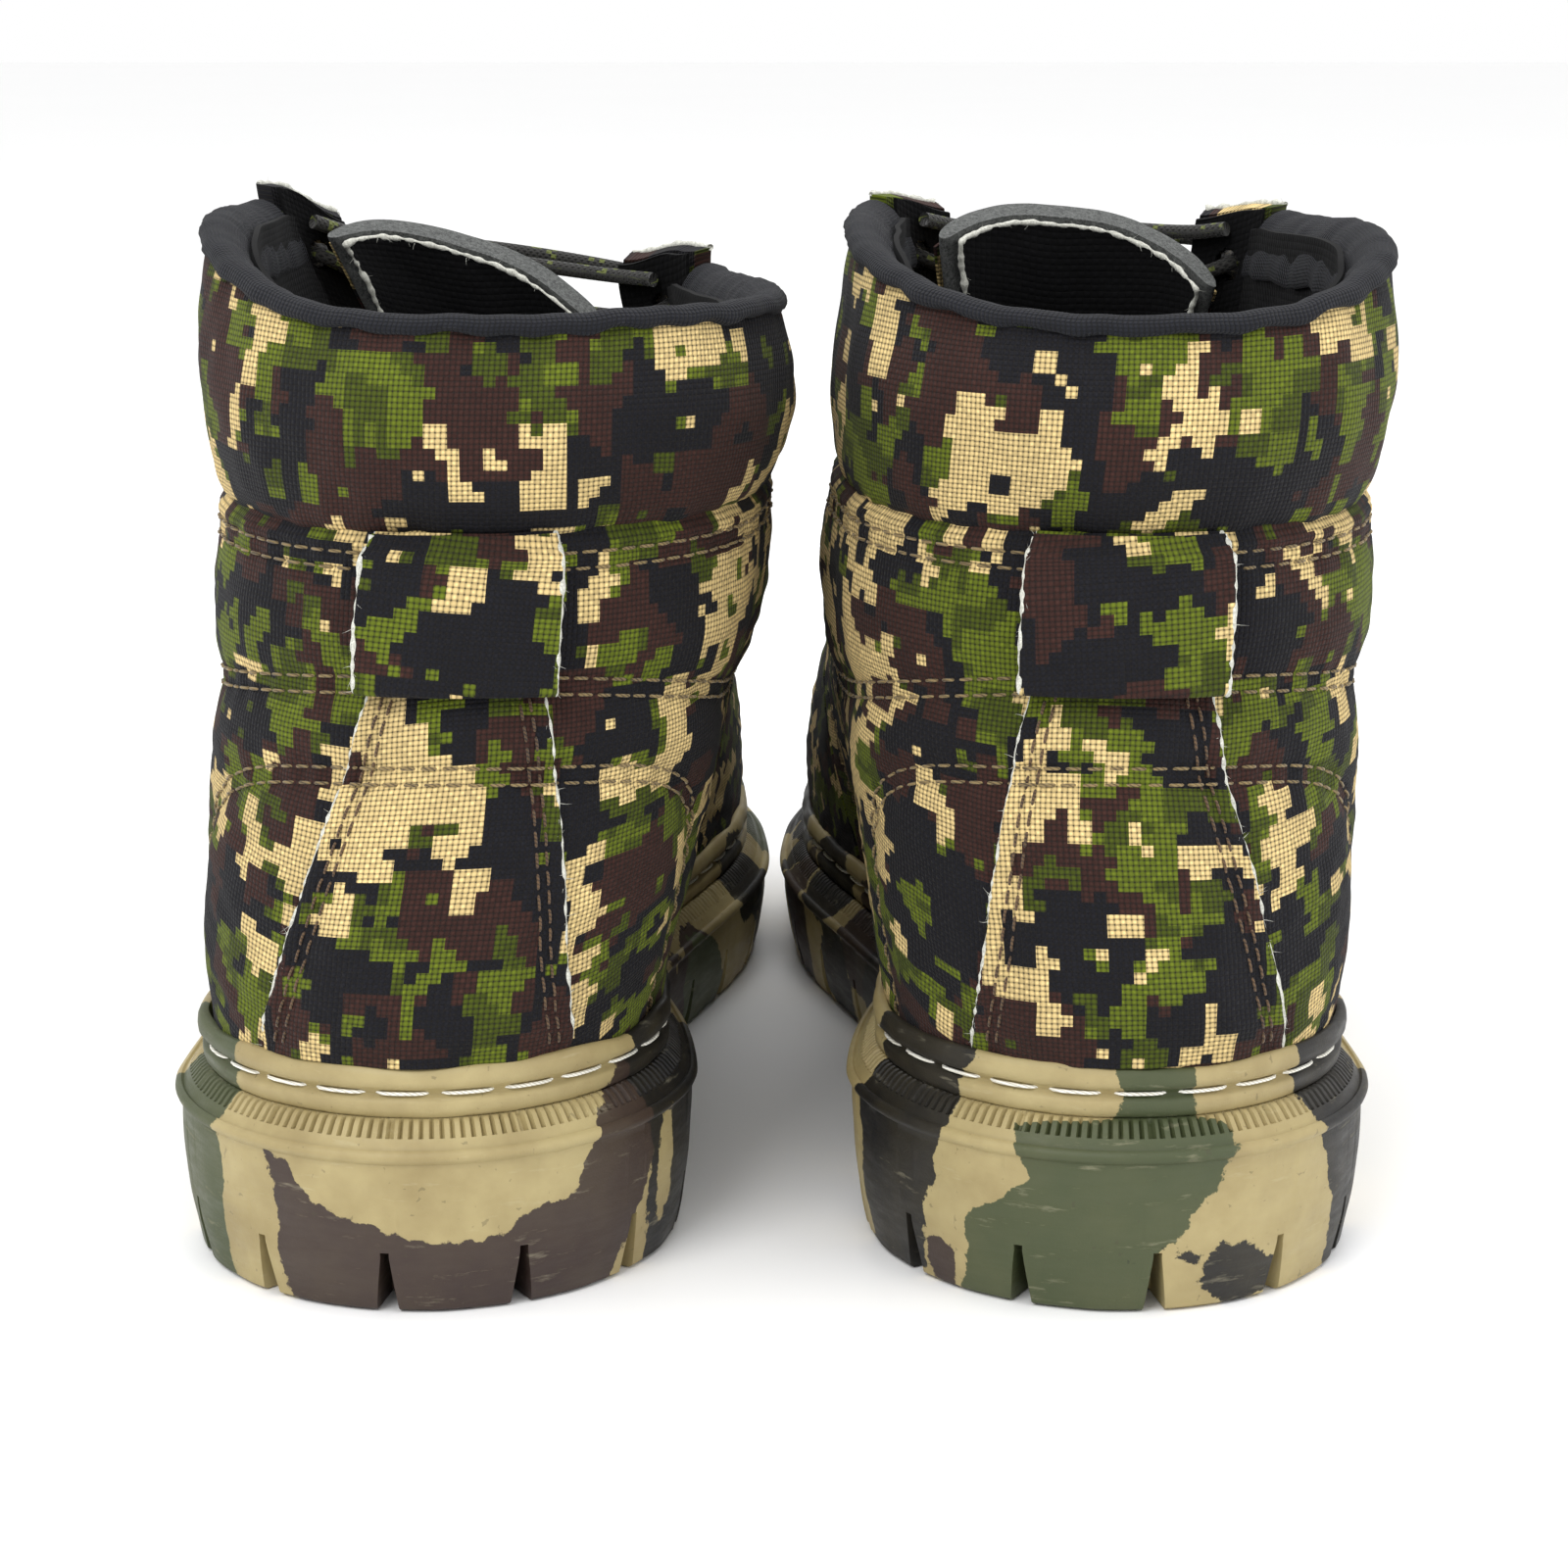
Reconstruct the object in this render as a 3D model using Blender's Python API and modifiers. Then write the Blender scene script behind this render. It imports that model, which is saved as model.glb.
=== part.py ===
"""A pair of insulated, ankle-high, lace-up hunting boots: every boot is an assembly of separate solids.

Metres, +Z up, toes along +Y. The origin is on the floor, midway between the two boots and midway along
their length. A boot is drawn in its own frame first: x runs from the boot's centre line towards the
other boot (the medial side), y from the back of the heel to the toe, z up from the floor.
"""

import math

import bmesh
import bpy
import numpy as np
from mathutils import Matrix, Vector

# ---- Driving dimensions ---------------------------------------------------------------------------
SOLE_LENGTH = 0.300
BOOT_CENTRE_X = 0.0554  # from the middle of the pair to each heel's centre
LEAN = {"left": 0.0055, "right": -0.0055}  # sideways lean of the soft shaft at the collar, medial positive
MEDIAL_SHIFT = 0.005  # the last's own medial offset of the ankle
TOE_SHIFT = 0.004  # the toe's medial offset from the heel's centre line
GAP = 0.0004  # clearance between solids that touch
STACK_GAP = 0.0009  # clearance above the sole's top platform, whose facets differ from the upper's

FLANGE = 0.007  # the bead stands this far outside the line where the upper meets the sole
BEAD_HEEL_Z = 0.026
BEAD_FOREFOOT_Z = 0.018
BEAD_TOE_LIFT = 0.0065
TOE_SPRING = 0.0085
SPRING_START_Y = 0.215
PLATFORM_RISE = 0.005  # the sole's top platform above the bead
UPPER_RISE = PLATFORM_RISE + STACK_GAP  # the lower edge of the upper above the bead
RAND_RISE = 0.013  # the rand's top above the bead

# The upper is a loft through rings. Each ring runs from a back point to a front point, and its half
# widths are given at four places along it, from heel to toe, on the lateral and on the medial side.
WIDTH_STATIONS = (0.12, 0.40, 0.70, 0.95)
RINGS = (
    # back y, z      front y, z      lateral half widths             medial half widths              front R
    (0.0070, 0.0310, 0.2930, 0.0300, (0.0350, 0.0330, 0.0485, 0.038), (0.0350, 0.0260, 0.0430, 0.038), 0.055),
    (0.0045, 0.0500, 0.2915, 0.0490, (0.0375, 0.0360, 0.0485, 0.041), (0.0375, 0.0320, 0.0440, 0.041), 0.055),
    (0.0055, 0.0680, 0.2790, 0.0670, (0.0385, 0.0385, 0.0445, 0.036), (0.0385, 0.0380, 0.0420, 0.036), 0.050),
    (0.0080, 0.0840, 0.2480, 0.0830, (0.0395, 0.0405, 0.0375, 0.029), (0.0395, 0.0420, 0.0380, 0.029), 0.045),
    (0.0105, 0.0970, 0.2080, 0.0960, (0.0405, 0.0420, 0.0350, 0.026), (0.0405, 0.0430, 0.0360, 0.026), 0.040),
    (0.0125, 0.1100, 0.1810, 0.1100, (0.0415, 0.0440, 0.0380, 0.030), (0.0415, 0.0450, 0.0380, 0.030), 0.036),
    (0.0135, 0.1200, 0.1610, 0.1240, (0.0420, 0.0450, 0.0410, 0.035), (0.0420, 0.0450, 0.0410, 0.035), 0.031),
    (0.0090, 0.1370, 0.1470, 0.1430, (0.0450, 0.0480, 0.0450, 0.040), (0.0450, 0.0480, 0.0450, 0.040), 0.026),
    (0.0130, 0.1530, 0.1380, 0.1630, (0.0440, 0.0470, 0.0450, 0.042), (0.0440, 0.0470, 0.0450, 0.042), 0.023),
)
SOLE_FOLLOW = (1.0, 0.8, 0.35, 0.0, 0.0, 0.0, 0.0, 0.0, 0.0)  # how far a ring follows the sole's profile
TOP = len(RINGS) - 1.0
HEEL_RADIUS = 0.038
THROAT = 4.0  # the ring where the lacing throat starts

# Columns round the boot: 0 is the back centre line, EYE the back edge of the eyestay, EDGE the throat's
# edge and, lower down, the vamp seam, and FRONT the front centre line.
EYE, EDGE, FRONT = 8, 9, 14
SEAM_ANGLE = math.radians(95)  # of the vamp seam at the sole
THROAT_ANGLE = math.radians(156)
EYESTAY_ANGLE = math.radians(20)  # width of the eyestay, as an angle
PANEL_GAP_ANGLE = 0.012  # half the gap between panels that meet edge to edge
ROWS = (0.0, 1.0, 2.0, 2.65, 3.3, 4.0, 5.0, 6.0)
VAMP_ROWS, PUFF_ROWS = ROWS[:6], ROWS[:4]
COLLAR_ROWS = (6.08, 6.5, 7.0, 7.5, 7.95)

# Layers of the upper: depth of the outer face below the boot's outer surface, and thickness.
SHELL = (0.0, 0.0014)
STIFFENER = (0.0021, 0.0010)
COUNTER_REACH = (6, 5, 4, 2)  # columns that the heel counter covers on each side, row by row
INSULATION = (0.0038, 0.0027)
LINING = (0.0071, 0.0010)
COLLAR_PAD_THICKNESS = 0.0060
STAY_OUT, STAY_THICKNESS = 0.0006, 0.0010
STAY_HALF_WIDTHS = (0.0234, 0.0135)
STAY_ROWS = (0.62, 1.0, 2.0, 2.65, 3.3, 4.0, 5.0, 5.8)
STAY_Z = (0.041, 0.095)  # heights between which the back stay narrows

LOOP_HALF_WIDTH = 0.0140
LOOP_TOP, LOOP_FOLD = 5.84, 3.95
LOOP_INNER, LOOP_OUTER, LOOP_THICKNESS = 0.0026, 0.0044, 0.0008
LOOP_TURN = 0.1  # height of the round of the fold, in rings

BINDING_DEPTH = 0.0075
BINDING_THICKNESS = 0.0008
BINDING_OUT = 0.0006  # out from the collar, and above it
BINDING_IN = LINING[0] + LINING[1] + 0.0011  # depth of its inner flap, past the lining
BINDING_FLAP = 0.42  # how far down its lower edges take their plan from, in rings

EYELET_COUNT = 5
EYELET_FIRST, EYELET_LAST = 4.36, 7.52
EYELET_SHARE = 0.48  # where the eyelets sit across the eyestay, from its throat edge
EYESTAY_THICKNESS = 0.0028
EYESTAY_GAP = 3.0  # its gap to the quarter and the collar, in panel gaps, because the collar turns sharply there
EYESTAY_ROWS = (4.06, 4.7, 5.4, 6.1, 6.9, 7.6, TOP)
TAPE_ROWS = (4.2, 4.7, 5.4, 6.1, 6.9, 7.72)
EYELET_BORE, EYELET_TUBE, EYELET_FLANGE, EYELET_HOLE = 0.0024, 0.0030, 0.0046, 0.0034
EYELET_SIDES = 7
EYELET_CREEP = 0.94  # below 1, the eyelets spread a little towards the ankle
POST_REACH = (-0.008, 0.006)  # of the cutters through the eyestay, along the eyelet's axis
FLANGE_RISE = 0.0008  # the underside of an eyelet's flange above the eyestay
TAPE_DEPTH, TAPE_THICKNESS, TAPE_SHARE = 0.0033, 0.0008, 0.26

TONGUE_DEPTHS, TONGUE_THICKNESS = (0.0095, 0.0118), 0.0045
TONGUE_ROWS = (3.9, 4.5, 5.2, 6.0, 6.8, 7.5, 8.0)
TONGUE_HALF_ARC = (0.020, 0.0295)
TONGUE_COLUMNS = 4

LACE_RADIUS = 0.0013
LACE_OUTSIDE, LACE_IN_HOLE, LACE_INSIDE = 0.0036, -0.0010, -0.0064  # out from the surface, at an eyelet
LACE_EDGE_OUT, LACE_EDGE_IN = 0.0026, -0.0056  # and at the throat's edge
LACE_OVER, LACE_UNDER, LACE_UNDERPASS = 0.0010, -0.0034, -0.0052  # and where two strands cross
LACE_EDGE_ANGLE = math.radians(158)
LACE_TUCK = 0.36  # how far above the top eyelets the ends are tucked in, in rings

BOARD_INSET, BOARD_THICKNESS = 0.0105, 0.0018
FOOTBED_INSET, FOOTBED_THICKNESS = 0.0120, 0.0050
POCKET_INSET, POCKET_DEPTH = 0.0130, 0.0060
SHANK_HALF_WIDTH, SHANK_THICKNESS = 0.007, 0.0013
SHANK_Y = (0.060, 0.095, 0.130, 0.165)

SOLE_COLUMNS = 16
SOLE_EDGE = (  # out from the feather line, height above the bead, from the bead's underside inwards
    (FLANGE, -0.0008),
    (FLANGE + 0.0004, 0.0),
    (FLANGE - 0.0008, 0.0010),
    (FLANGE - 0.0036, PLATFORM_RISE - 0.0004),
    (FLANGE - 0.0042, PLATFORM_RISE),
    (-POCKET_INSET, PLATFORM_RISE),
    (-POCKET_INSET - GAP, -POCKET_DEPTH),
)
WALL_DRAFT = 0.0030  # how far the wall draws in from the bead to the floor
FOAM_BELOW = 0.0024  # the foam's top below the platform, to clear the shank
OUTLINE_STEPS = 720
LUG_PITCH, LUG_GROOVE, LUG_HEIGHT, LUG_DEPTH = 0.0245, 0.0036, 0.0095, 0.011
CUTTER_MARGIN = 0.002  # how far a cutter runs past what it cuts
WAIST_MARGIN = 0.006  # no groove is cut nearer to the waist than this
WAIST_REACH = 0.08
WAIST_Y, WAIST_RISE = (0.091, 0.113), 0.005
TONGUE_HINGE = (0.0, 0.2065, 0.0850)
LOOP_HINGE = (0.0, 0.0100, 0.1185)

COLOURS = {  # base colour, roughness, metallic
    "outsole_rubber": ((0.42, 0.36, 0.18), 0.6, 0.0),
    "rand_rubber": ((0.50, 0.45, 0.27), 0.6, 0.0),
    "thread": ((0.80, 0.78, 0.70), 0.8, 0.0),
    "foam": ((0.75, 0.74, 0.70), 0.9, 0.0),
    "steel": ((0.55, 0.56, 0.58), 0.35, 1.0),
    "board": ((0.52, 0.40, 0.26), 0.9, 0.0),
    "footbed_felt": ((0.05, 0.05, 0.055), 0.95, 0.0),
    "stiffener": ((0.70, 0.68, 0.60), 0.7, 0.0),
    "insulation_felt": ((0.62, 0.62, 0.60), 0.95, 0.0),
    "lining_textile": ((0.012, 0.013, 0.016), 0.9, 0.0),
    "camo_canvas": ((0.09, 0.12, 0.04), 0.85, 0.0),
    "knit_binding": ((0.02, 0.022, 0.026), 0.9, 0.0),
    "tongue_felt": ((0.16, 0.16, 0.165), 0.95, 0.0),
    "blackened_metal": ((0.05, 0.05, 0.05), 0.4, 1.0),
    "lace_cord": ((0.02, 0.02, 0.02), 0.8, 0.0),
}


# ---- The boot's surface ---------------------------------------------------------------------------
def through(x, places, values):
    """A smooth curve through values at places, flat beyond both ends."""
    places = np.asarray(places, float)
    values = np.asarray(values, float)
    if x <= places[0]:
        return values[0]
    if x >= places[-1]:
        return values[-1]
    slopes = np.gradient(values, places, axis=0)
    slopes[0] = slopes[-1] = 0.0
    i = int(np.searchsorted(places, x)) - 1
    step = places[i + 1] - places[i]
    u = (x - places[i]) / step
    rise = u * u * (3 - 2 * u)
    start = u * (1 - u) ** 2 * step * slopes[i]
    end = u * u * (1 - u) * step * slopes[i + 1]
    return values[i] + (values[i + 1] - values[i]) * rise + start - end


def ease(x):
    x = min(max(x, 0.0), 1.0)
    return x * x * (3 - 2 * x)


def spring(y):
    """Rises from 0 where the toe starts to leave the floor to 1 at its tip."""
    return (max(0.0, y - SPRING_START_Y) / (SOLE_LENGTH - SPRING_START_Y)) ** 2


def floor_z(y):
    """Height of the sole's underside."""
    return TOE_SPRING * spring(y)


def bead_z(y):
    """Height of the bead round the sole."""
    drop = (BEAD_HEEL_Z - BEAD_FOREFOOT_Z) * ease((y - 0.060) / 0.090)
    return BEAD_HEEL_Z - drop + BEAD_TOE_LIFT * spring(y)


def end_factor(distance, radius):
    """How much of its full width a ring has at a distance from its round end."""
    return math.sqrt(1 - (1 - min(distance / radius, 1.0)) ** 2)


def ring_point(index, angle):
    """A point of one ring; angle 0 is the back, pi the front, and negative angles are lateral."""
    back_y, back_z, front_y, front_z, lateral, medial, front_radius = RINGS[index]
    share = (1 - math.cos(angle)) / 2
    length = front_y - back_y
    y = back_y + length * share
    width = through(share, WIDTH_STATIONS, medial if angle > 0 else lateral)
    width *= end_factor(length * share, HEEL_RADIUS) * end_factor(length * (1 - share), front_radius)
    chord_z = back_z + (front_z - back_z) * share
    sole_chord = bead_z(back_y) + (bead_z(front_y) - bead_z(back_y)) * share
    z = chord_z + SOLE_FOLLOW[index] * (bead_z(y) - sole_chord)
    if index == 0:
        z = bead_z(y) + UPPER_RISE
    x = TOE_SHIFT * ease(y / SOLE_LENGTH) + math.copysign(width, angle)
    return np.array([x, y, z])


def surface(boot, t, angle):
    """The upper's outer surface at ring height t, leaning as that boot does."""
    angle = (angle + math.pi) % (2 * math.pi) - math.pi
    i = min(int(max(t, 0.0)), len(RINGS) - 2)
    u = t - i
    p1, p2 = ring_point(i, angle), ring_point(i + 1, angle)
    p0 = ring_point(i - 1, angle) if i > 0 else 2 * p1 - p2
    p3 = ring_point(i + 2, angle) if i + 2 < len(RINGS) else 2 * p2 - p1
    m1, m2 = (p2 - p0) / 2, (p3 - p1) / 2
    point = (2 * u**3 - 3 * u**2 + 1) * p1 + (u**3 - 2 * u**2 + u) * m1
    point = point + (3 * u**2 - 2 * u**3) * p2 + (u**3 - u**2) * m2
    height = max(0.0, point[2] - 0.035)
    ankle = 1 - ease((point[1] - 0.10) / 0.12)  # the forefoot doesn't lean
    point[0] += ankle * (MEDIAL_SHIFT * ease(height / 0.055) + LEAN[boot] * (height / 0.115) ** 1.2)
    return point


def normal(boot, t, angle, level=False):
    """Outward unit normal; level drops its vertical part, for edges that stay at one height."""
    low, high = max(t - 0.05, 0.0), min(t + 0.05, TOP)
    up = surface(boot, high, angle) - surface(boot, low, angle)
    along = surface(boot, t, angle + 0.02) - surface(boot, t, angle - 0.02)
    out = np.cross(along, up)
    if level:
        out[2] = 0.0
    return out / np.linalg.norm(out)


def shell_point(boot, t, angle, out=0.0, level=False):
    level = level or t <= 0.0 or t >= TOP
    return surface(boot, t, angle) + out * normal(boot, t, angle, level)


def at_height(boot, z, column, out):
    """The point of the lowest panel facet in a column at height z, moved level by out."""
    low = surface(boot, 0.0, column_angle(0.0, column))
    high = surface(boot, 1.0, column_angle(1.0, column))
    point = low + (high - low) * (z - low[2]) / (high[2] - low[2])
    point += out * normal(boot, 0.3, column_angle(0.3, column), level=True)
    point[2] = z
    return point


def column_angle(t, column):
    """Angle of a column at ring height t: columns bend forward with the vamp seam and the throat."""
    edge = SEAM_ANGLE + (THROAT_ANGLE - SEAM_ANGLE) * min(t / THROAT, 1.0) ** 2
    eye = edge - EYESTAY_ANGLE
    step = abs(column)
    if step <= EYE:
        angle = eye * step / EYE
    elif step <= EDGE:
        angle = edge
    else:
        angle = edge + (math.pi - edge) * (step - EDGE) / (FRONT - EDGE)
    return math.copysign(angle, column)


def angle_at_width(boot, t, half_width):
    """Angle from the back centre line at which the surface is half_width away along x."""
    centre = surface(boot, t, 0.0)[0]
    low, high = 0.0, math.radians(75)
    for _ in range(30):
        middle = (low + high) / 2
        if surface(boot, t, middle)[0] - centre < half_width:
            low = middle
        else:
            high = middle
    return low


def feather(angle, out):
    """Plan of the line where upper meets sole, moved level by out, with its height left at zero."""
    here = ring_point(0, angle)
    ahead = ring_point(0, (angle + 0.01 + math.pi) % (2 * math.pi) - math.pi)
    behind = ring_point(0, (angle - 0.01 + math.pi) % (2 * math.pi) - math.pi)
    along = ahead - behind
    outward = np.array([along[1], -along[0], 0.0])
    outward /= np.linalg.norm(outward)
    point = here + out * outward
    point[2] = 0.0
    return point


# ---- Building helpers -----------------------------------------------------------------------------
def clear_scene():
    for item in list(bpy.data.objects):
        bpy.data.objects.remove(item, do_unlink=True)


def new_collection(name):
    collection = bpy.data.collections.new(name)
    bpy.context.scene.collection.children.link(collection)
    return collection


def material(slot):
    made = bpy.data.materials.get(slot)
    if made:
        return made
    colour, roughness, metallic = COLOURS[slot]
    made = bpy.data.materials.new(slot)
    made.use_nodes = True
    shader = made.node_tree.nodes["Principled BSDF"]
    shader.inputs["Base Color"].default_value = (*colour, 1.0)
    shader.inputs["Roughness"].default_value = roughness
    shader.inputs["Metallic"].default_value = metallic
    return made


class Boot:
    """One boot: its empty, and the way from the boot's own frame to the world."""

    def __init__(self, name, parts, cutters):
        self.name = name
        self.mirrored = name == "right"
        self.parts = parts
        self.cutters = cutters
        self.empty = bpy.data.objects.new(f"{name}_boot", None)
        side = 1 if self.mirrored else -1
        self.empty.location = (side * BOOT_CENTRE_X, -SOLE_LENGTH / 2, 0.0)
        parts.objects.link(self.empty)

    def place(self, point, origin=(0.0, 0.0, 0.0)):
        """A point of the boot's own frame in its empty's frame, measured from origin."""
        x = -point[0] if self.mirrored else point[0]
        start = -origin[0] if self.mirrored else origin[0]
        return Vector((x - start, point[1] - origin[1], point[2] - origin[2]))

    def adopt(self, item, slot, origin=(0.0, 0.0, 0.0), collection=None):
        (collection or self.parts).objects.link(item)
        item.parent = self.empty
        item.location = self.place(origin)
        if slot:
            item.data.materials.append(material(slot))
        return item

    def mesh(self, name, points, faces, slot, origin=(0.0, 0.0, 0.0), collection=None):
        """A mesh object from points in the boot's own frame; a mirrored boot turns the faces over."""
        data = bpy.data.meshes.new(f"{self.name}_{name}")
        if self.mirrored:
            faces = [tuple(reversed(face)) for face in faces]
        data.from_pydata([self.place(p, origin) for p in points], [], faces)
        item = bpy.data.objects.new(f"{self.name}_{name}", data)
        self.adopt(item, slot, origin, collection)
        tidy = bmesh.new()
        tidy.from_mesh(data)
        bmesh.ops.delete(tidy, geom=[v for v in tidy.verts if not v.link_faces], context="VERTS")
        tidy.to_mesh(data)
        tidy.free()
        data.shade_smooth()
        data.set_sharp_from_angle(angle=math.radians(40))
        return item

    def sheet(self, name, rows, slot, keep=None, closed=False, origin=(0.0, 0.0, 0.0)):
        """An open loft: rows of points, bottom row first, angles growing along each row."""
        count = len(rows[0])
        spans = count if closed else count - 1
        faces = []
        for r in range(len(rows) - 1):
            for c in range(spans):
                if keep and not keep(r, c):
                    continue
                d = (c + 1) % count
                faces.append((r * count + c, r * count + d, (r + 1) * count + d, (r + 1) * count + c))
        return self.mesh(name, [p for row in rows for p in row], faces, slot, origin)

    def solidify(self, item, thickness, outward=False):
        shell = item.modifiers.new("thickness", "SOLIDIFY")
        shell.thickness = thickness
        shell.offset = 1.0 if outward else -1.0
        shell.use_even_offset = True
        return item

    def plate(self, name, columns, levels, slot):
        """A closed loft through level outlines, capped straight across from side to side.

        columns are the angles from back to front on one side; levels are functions of angle.
        """
        angles = [*columns, *(-a for a in reversed(columns[1:-1]))]
        count = len(angles)
        rows = [[level(a) for a in angles] for level in levels]
        faces = []
        for r in range(len(rows) - 1):
            for c in range(count):
                d = (c + 1) % count
                faces.append((r * count + c, r * count + d, (r + 1) * count + d, (r + 1) * count + c))
        last = (len(rows) - 1) * count
        for c in range(count // 2):
            a, b = c, c + 1
            near, far = (count - a) % count, (count - b) % count
            ring = [b, a, near, far]
            ring = [v for k, v in enumerate(ring) if v not in ring[:k]]
            faces.append(tuple(ring))
            faces.append(tuple(last + v for v in reversed(ring)))
        return self.mesh(name, [p for row in rows for p in row], faces, slot)

    def cut(self, item, cutter, operation="DIFFERENCE"):
        cutter.hide_render = True
        cutter.display_type = "WIRE"
        step = item.modifiers.new(operation.lower(), "BOOLEAN")
        step.operation = operation
        step.object = cutter
        step.solver = "EXACT"

    def tube(self, name, points, radius, resolution, slot, cyclic=False):
        curve = bpy.data.curves.new(f"{self.name}_{name}", "CURVE")
        curve.dimensions = "3D"
        curve.bevel_depth = radius
        curve.bevel_resolution = resolution
        curve.use_fill_caps = not cyclic
        spline = curve.splines.new("POLY")
        spline.points.add(len(points) - 1)
        for target, point in zip(spline.points, points):
            target.co = (*self.place(point), 1.0)
        spline.use_cyclic_u = cyclic
        item = bpy.data.objects.new(f"{self.name}_{name}", curve)
        return self.adopt(item, slot)


def column_rows(boot, rows, columns, depth, edge_gap=0.0):
    """Points of a layer on the shared grid, depth below the outer surface."""
    grid = []
    for t in rows:
        angles = [column_angle(t, c) for c in columns]
        angles[0] += edge_gap
        angles[-1] -= edge_gap
        grid.append([shell_point(boot.name, t, a, -depth) for a in angles])
    return grid


def bridge_columns(start):
    """Columns from the medial side round the toe to the lateral side."""
    return [*range(start, FRONT), FRONT, *range(-FRONT + 1, -start + 1)]


# ---- Sole -----------------------------------------------------------------------------------------
def sole_level(out, height):
    """A level outline of the sole: out from the feather line, at a height that may vary along y."""

    def level(angle):
        point = feather(angle, out)
        point[2] = height(min(max(point[1], 0.0), SOLE_LENGTH))
        return point

    return level


def above_bead(rise):
    return lambda y: bead_z(y) + rise


def box_corners(centre, along, across, up, half_along, half_across, low, high):
    return [
        centre + sa * half_along * along + sb * half_across * across + z * up
        for z in (low, high)
        for sa, sb in ((-1, -1), (1, -1), (1, 1), (-1, 1))
    ]


BOX_FACES = ((3, 2, 1, 0), (4, 5, 6, 7), (0, 1, 5, 4), (1, 2, 6, 5), (2, 3, 7, 6), (3, 0, 4, 7))


def lug_grooves(boot):
    """Cutters for the grooves between the lugs round the sole's edge, and for the raised waist."""
    steps = OUTLINE_STEPS
    angles = [2 * math.pi * k / steps for k in range(steps)]
    edge = [feather((a + math.pi) % (2 * math.pi) - math.pi, FLANGE) for a in angles]
    lengths = [np.linalg.norm(edge[k] - edge[k - 1]) for k in range(steps)]
    perimeter = sum(lengths)
    count = round(perimeter / LUG_PITCH)
    points, faces = [], []
    travelled, wanted = 0.0, LUG_PITCH / 2
    for k in range(1, steps):
        travelled += lengths[k]
        if travelled < wanted:
            continue
        wanted += perimeter / count
        here = edge[k]
        if WAIST_Y[0] - WAIST_MARGIN < here[1] < WAIST_Y[1] + WAIST_MARGIN:
            continue
        along = (edge[k] - edge[k - 1]) / lengths[k]
        inward = np.array([-along[1], along[0], 0.0])
        base = floor_z(min(max(here[1], 0.0), SOLE_LENGTH))
        centre = here + inward * (LUG_DEPTH / 2 - CUTTER_MARGIN)
        up = np.array([0.0, 0.0, 1.0])
        start = len(points)
        half = (LUG_GROOVE / 2, LUG_DEPTH / 2 + CUTTER_MARGIN)
        points += box_corners(centre, along, inward, up, *half, -CUTTER_MARGIN, base + LUG_HEIGHT)
        faces += [tuple(start + v for v in face) for face in BOX_FACES]
    start = len(points)
    middle = np.array([0.0, sum(WAIST_Y) / 2, 0.0])
    across, forward, up = np.eye(3)
    half = (WAIST_REACH, (WAIST_Y[1] - WAIST_Y[0]) / 2)
    points += box_corners(middle, across, forward, up, *half, -CUTTER_MARGIN, WAIST_RISE)
    faces += [tuple(start + v for v in face) for face in BOX_FACES]
    return boot.mesh("lug_grooves", points, faces, None, collection=boot.cutters)


def make_sole(boot):
    columns = [math.pi * k / SOLE_COLUMNS for k in range(SOLE_COLUMNS + 1)]
    levels = [sole_level(FLANGE - WALL_DRAFT, floor_z)]
    levels += [sole_level(out, above_bead(rise)) for out, rise in SOLE_EDGE]
    outsole = boot.plate("outsole", columns, levels, "outsole_rubber")
    boot.cut(outsole, lug_grooves(boot))

    foam_in = -POCKET_INSET - 2 * GAP
    foam = [
        sole_level(foam_in, above_bead(-POCKET_DEPTH + GAP)),
        sole_level(foam_in, above_bead(PLATFORM_RISE - FOAM_BELOW)),
    ]
    boot.plate("midsole_foam", columns, foam, "foam")

    shank_rows = [
        [np.array([s * SHANK_HALF_WIDTH, y, bead_z(y) + PLATFORM_RISE - GAP]) for s in (-1, 0, 1)]
        for y in SHANK_Y
    ]
    boot.solidify(boot.sheet("shank", shank_rows, "steel"), SHANK_THICKNESS)

    low = UPPER_RISE
    board = [
        sole_level(-BOARD_INSET, above_bead(low)),
        sole_level(-BOARD_INSET, above_bead(low + BOARD_THICKNESS)),
    ]
    boot.plate("insole_board", columns, board, "board")
    low += BOARD_THICKNESS + GAP
    footbed = [
        sole_level(-FOOTBED_INSET, above_bead(low)),
        sole_level(-FOOTBED_INSET, above_bead(low + FOOTBED_THICKNESS)),
    ]
    boot.plate("footbed", columns, footbed, "footbed_felt")


RAND_SECTION = (  # out from the upper's surface, height above the bead, going round the section
    (0.0028, UPPER_RISE),
    (0.0025, 0.0078),
    (0.0015, 0.0080),
    (0.0015, 0.0098),
    (0.0026, 0.0100),
    (0.0021, RAND_RISE),
    (0.0011, RAND_RISE),
    (0.0011, UPPER_RISE),
)
STITCH_OUT, STITCH_RISE, THREAD_RADIUS = 0.0023, 0.0089, 0.00035


def make_rand(boot):
    """The rubber rand round the upper, with the groove that the side stitch lies in."""
    columns = [*range(-FRONT + 1, 0), *range(FRONT + 1)]
    points, faces, thread = [], [], []
    for column in columns:
        base = bead_z(feather(column_angle(0.0, column), 0.0)[1])
        points += [at_height(boot.name, base + rise, column, out) for out, rise in RAND_SECTION]
        thread.append(at_height(boot.name, base + STITCH_RISE, column, STITCH_OUT))
    size, count = len(RAND_SECTION), len(columns)
    for c in range(count):
        d = (c + 1) % count
        for k in range(size):
            m = (k + 1) % size
            faces.append((c * size + k, d * size + k, d * size + m, c * size + m))
    boot.mesh("welt_rand", points, faces, "rand_rubber")
    boot.tube("welt_stitch", thread, THREAD_RADIUS, 0, "thread", cyclic=True)


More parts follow.
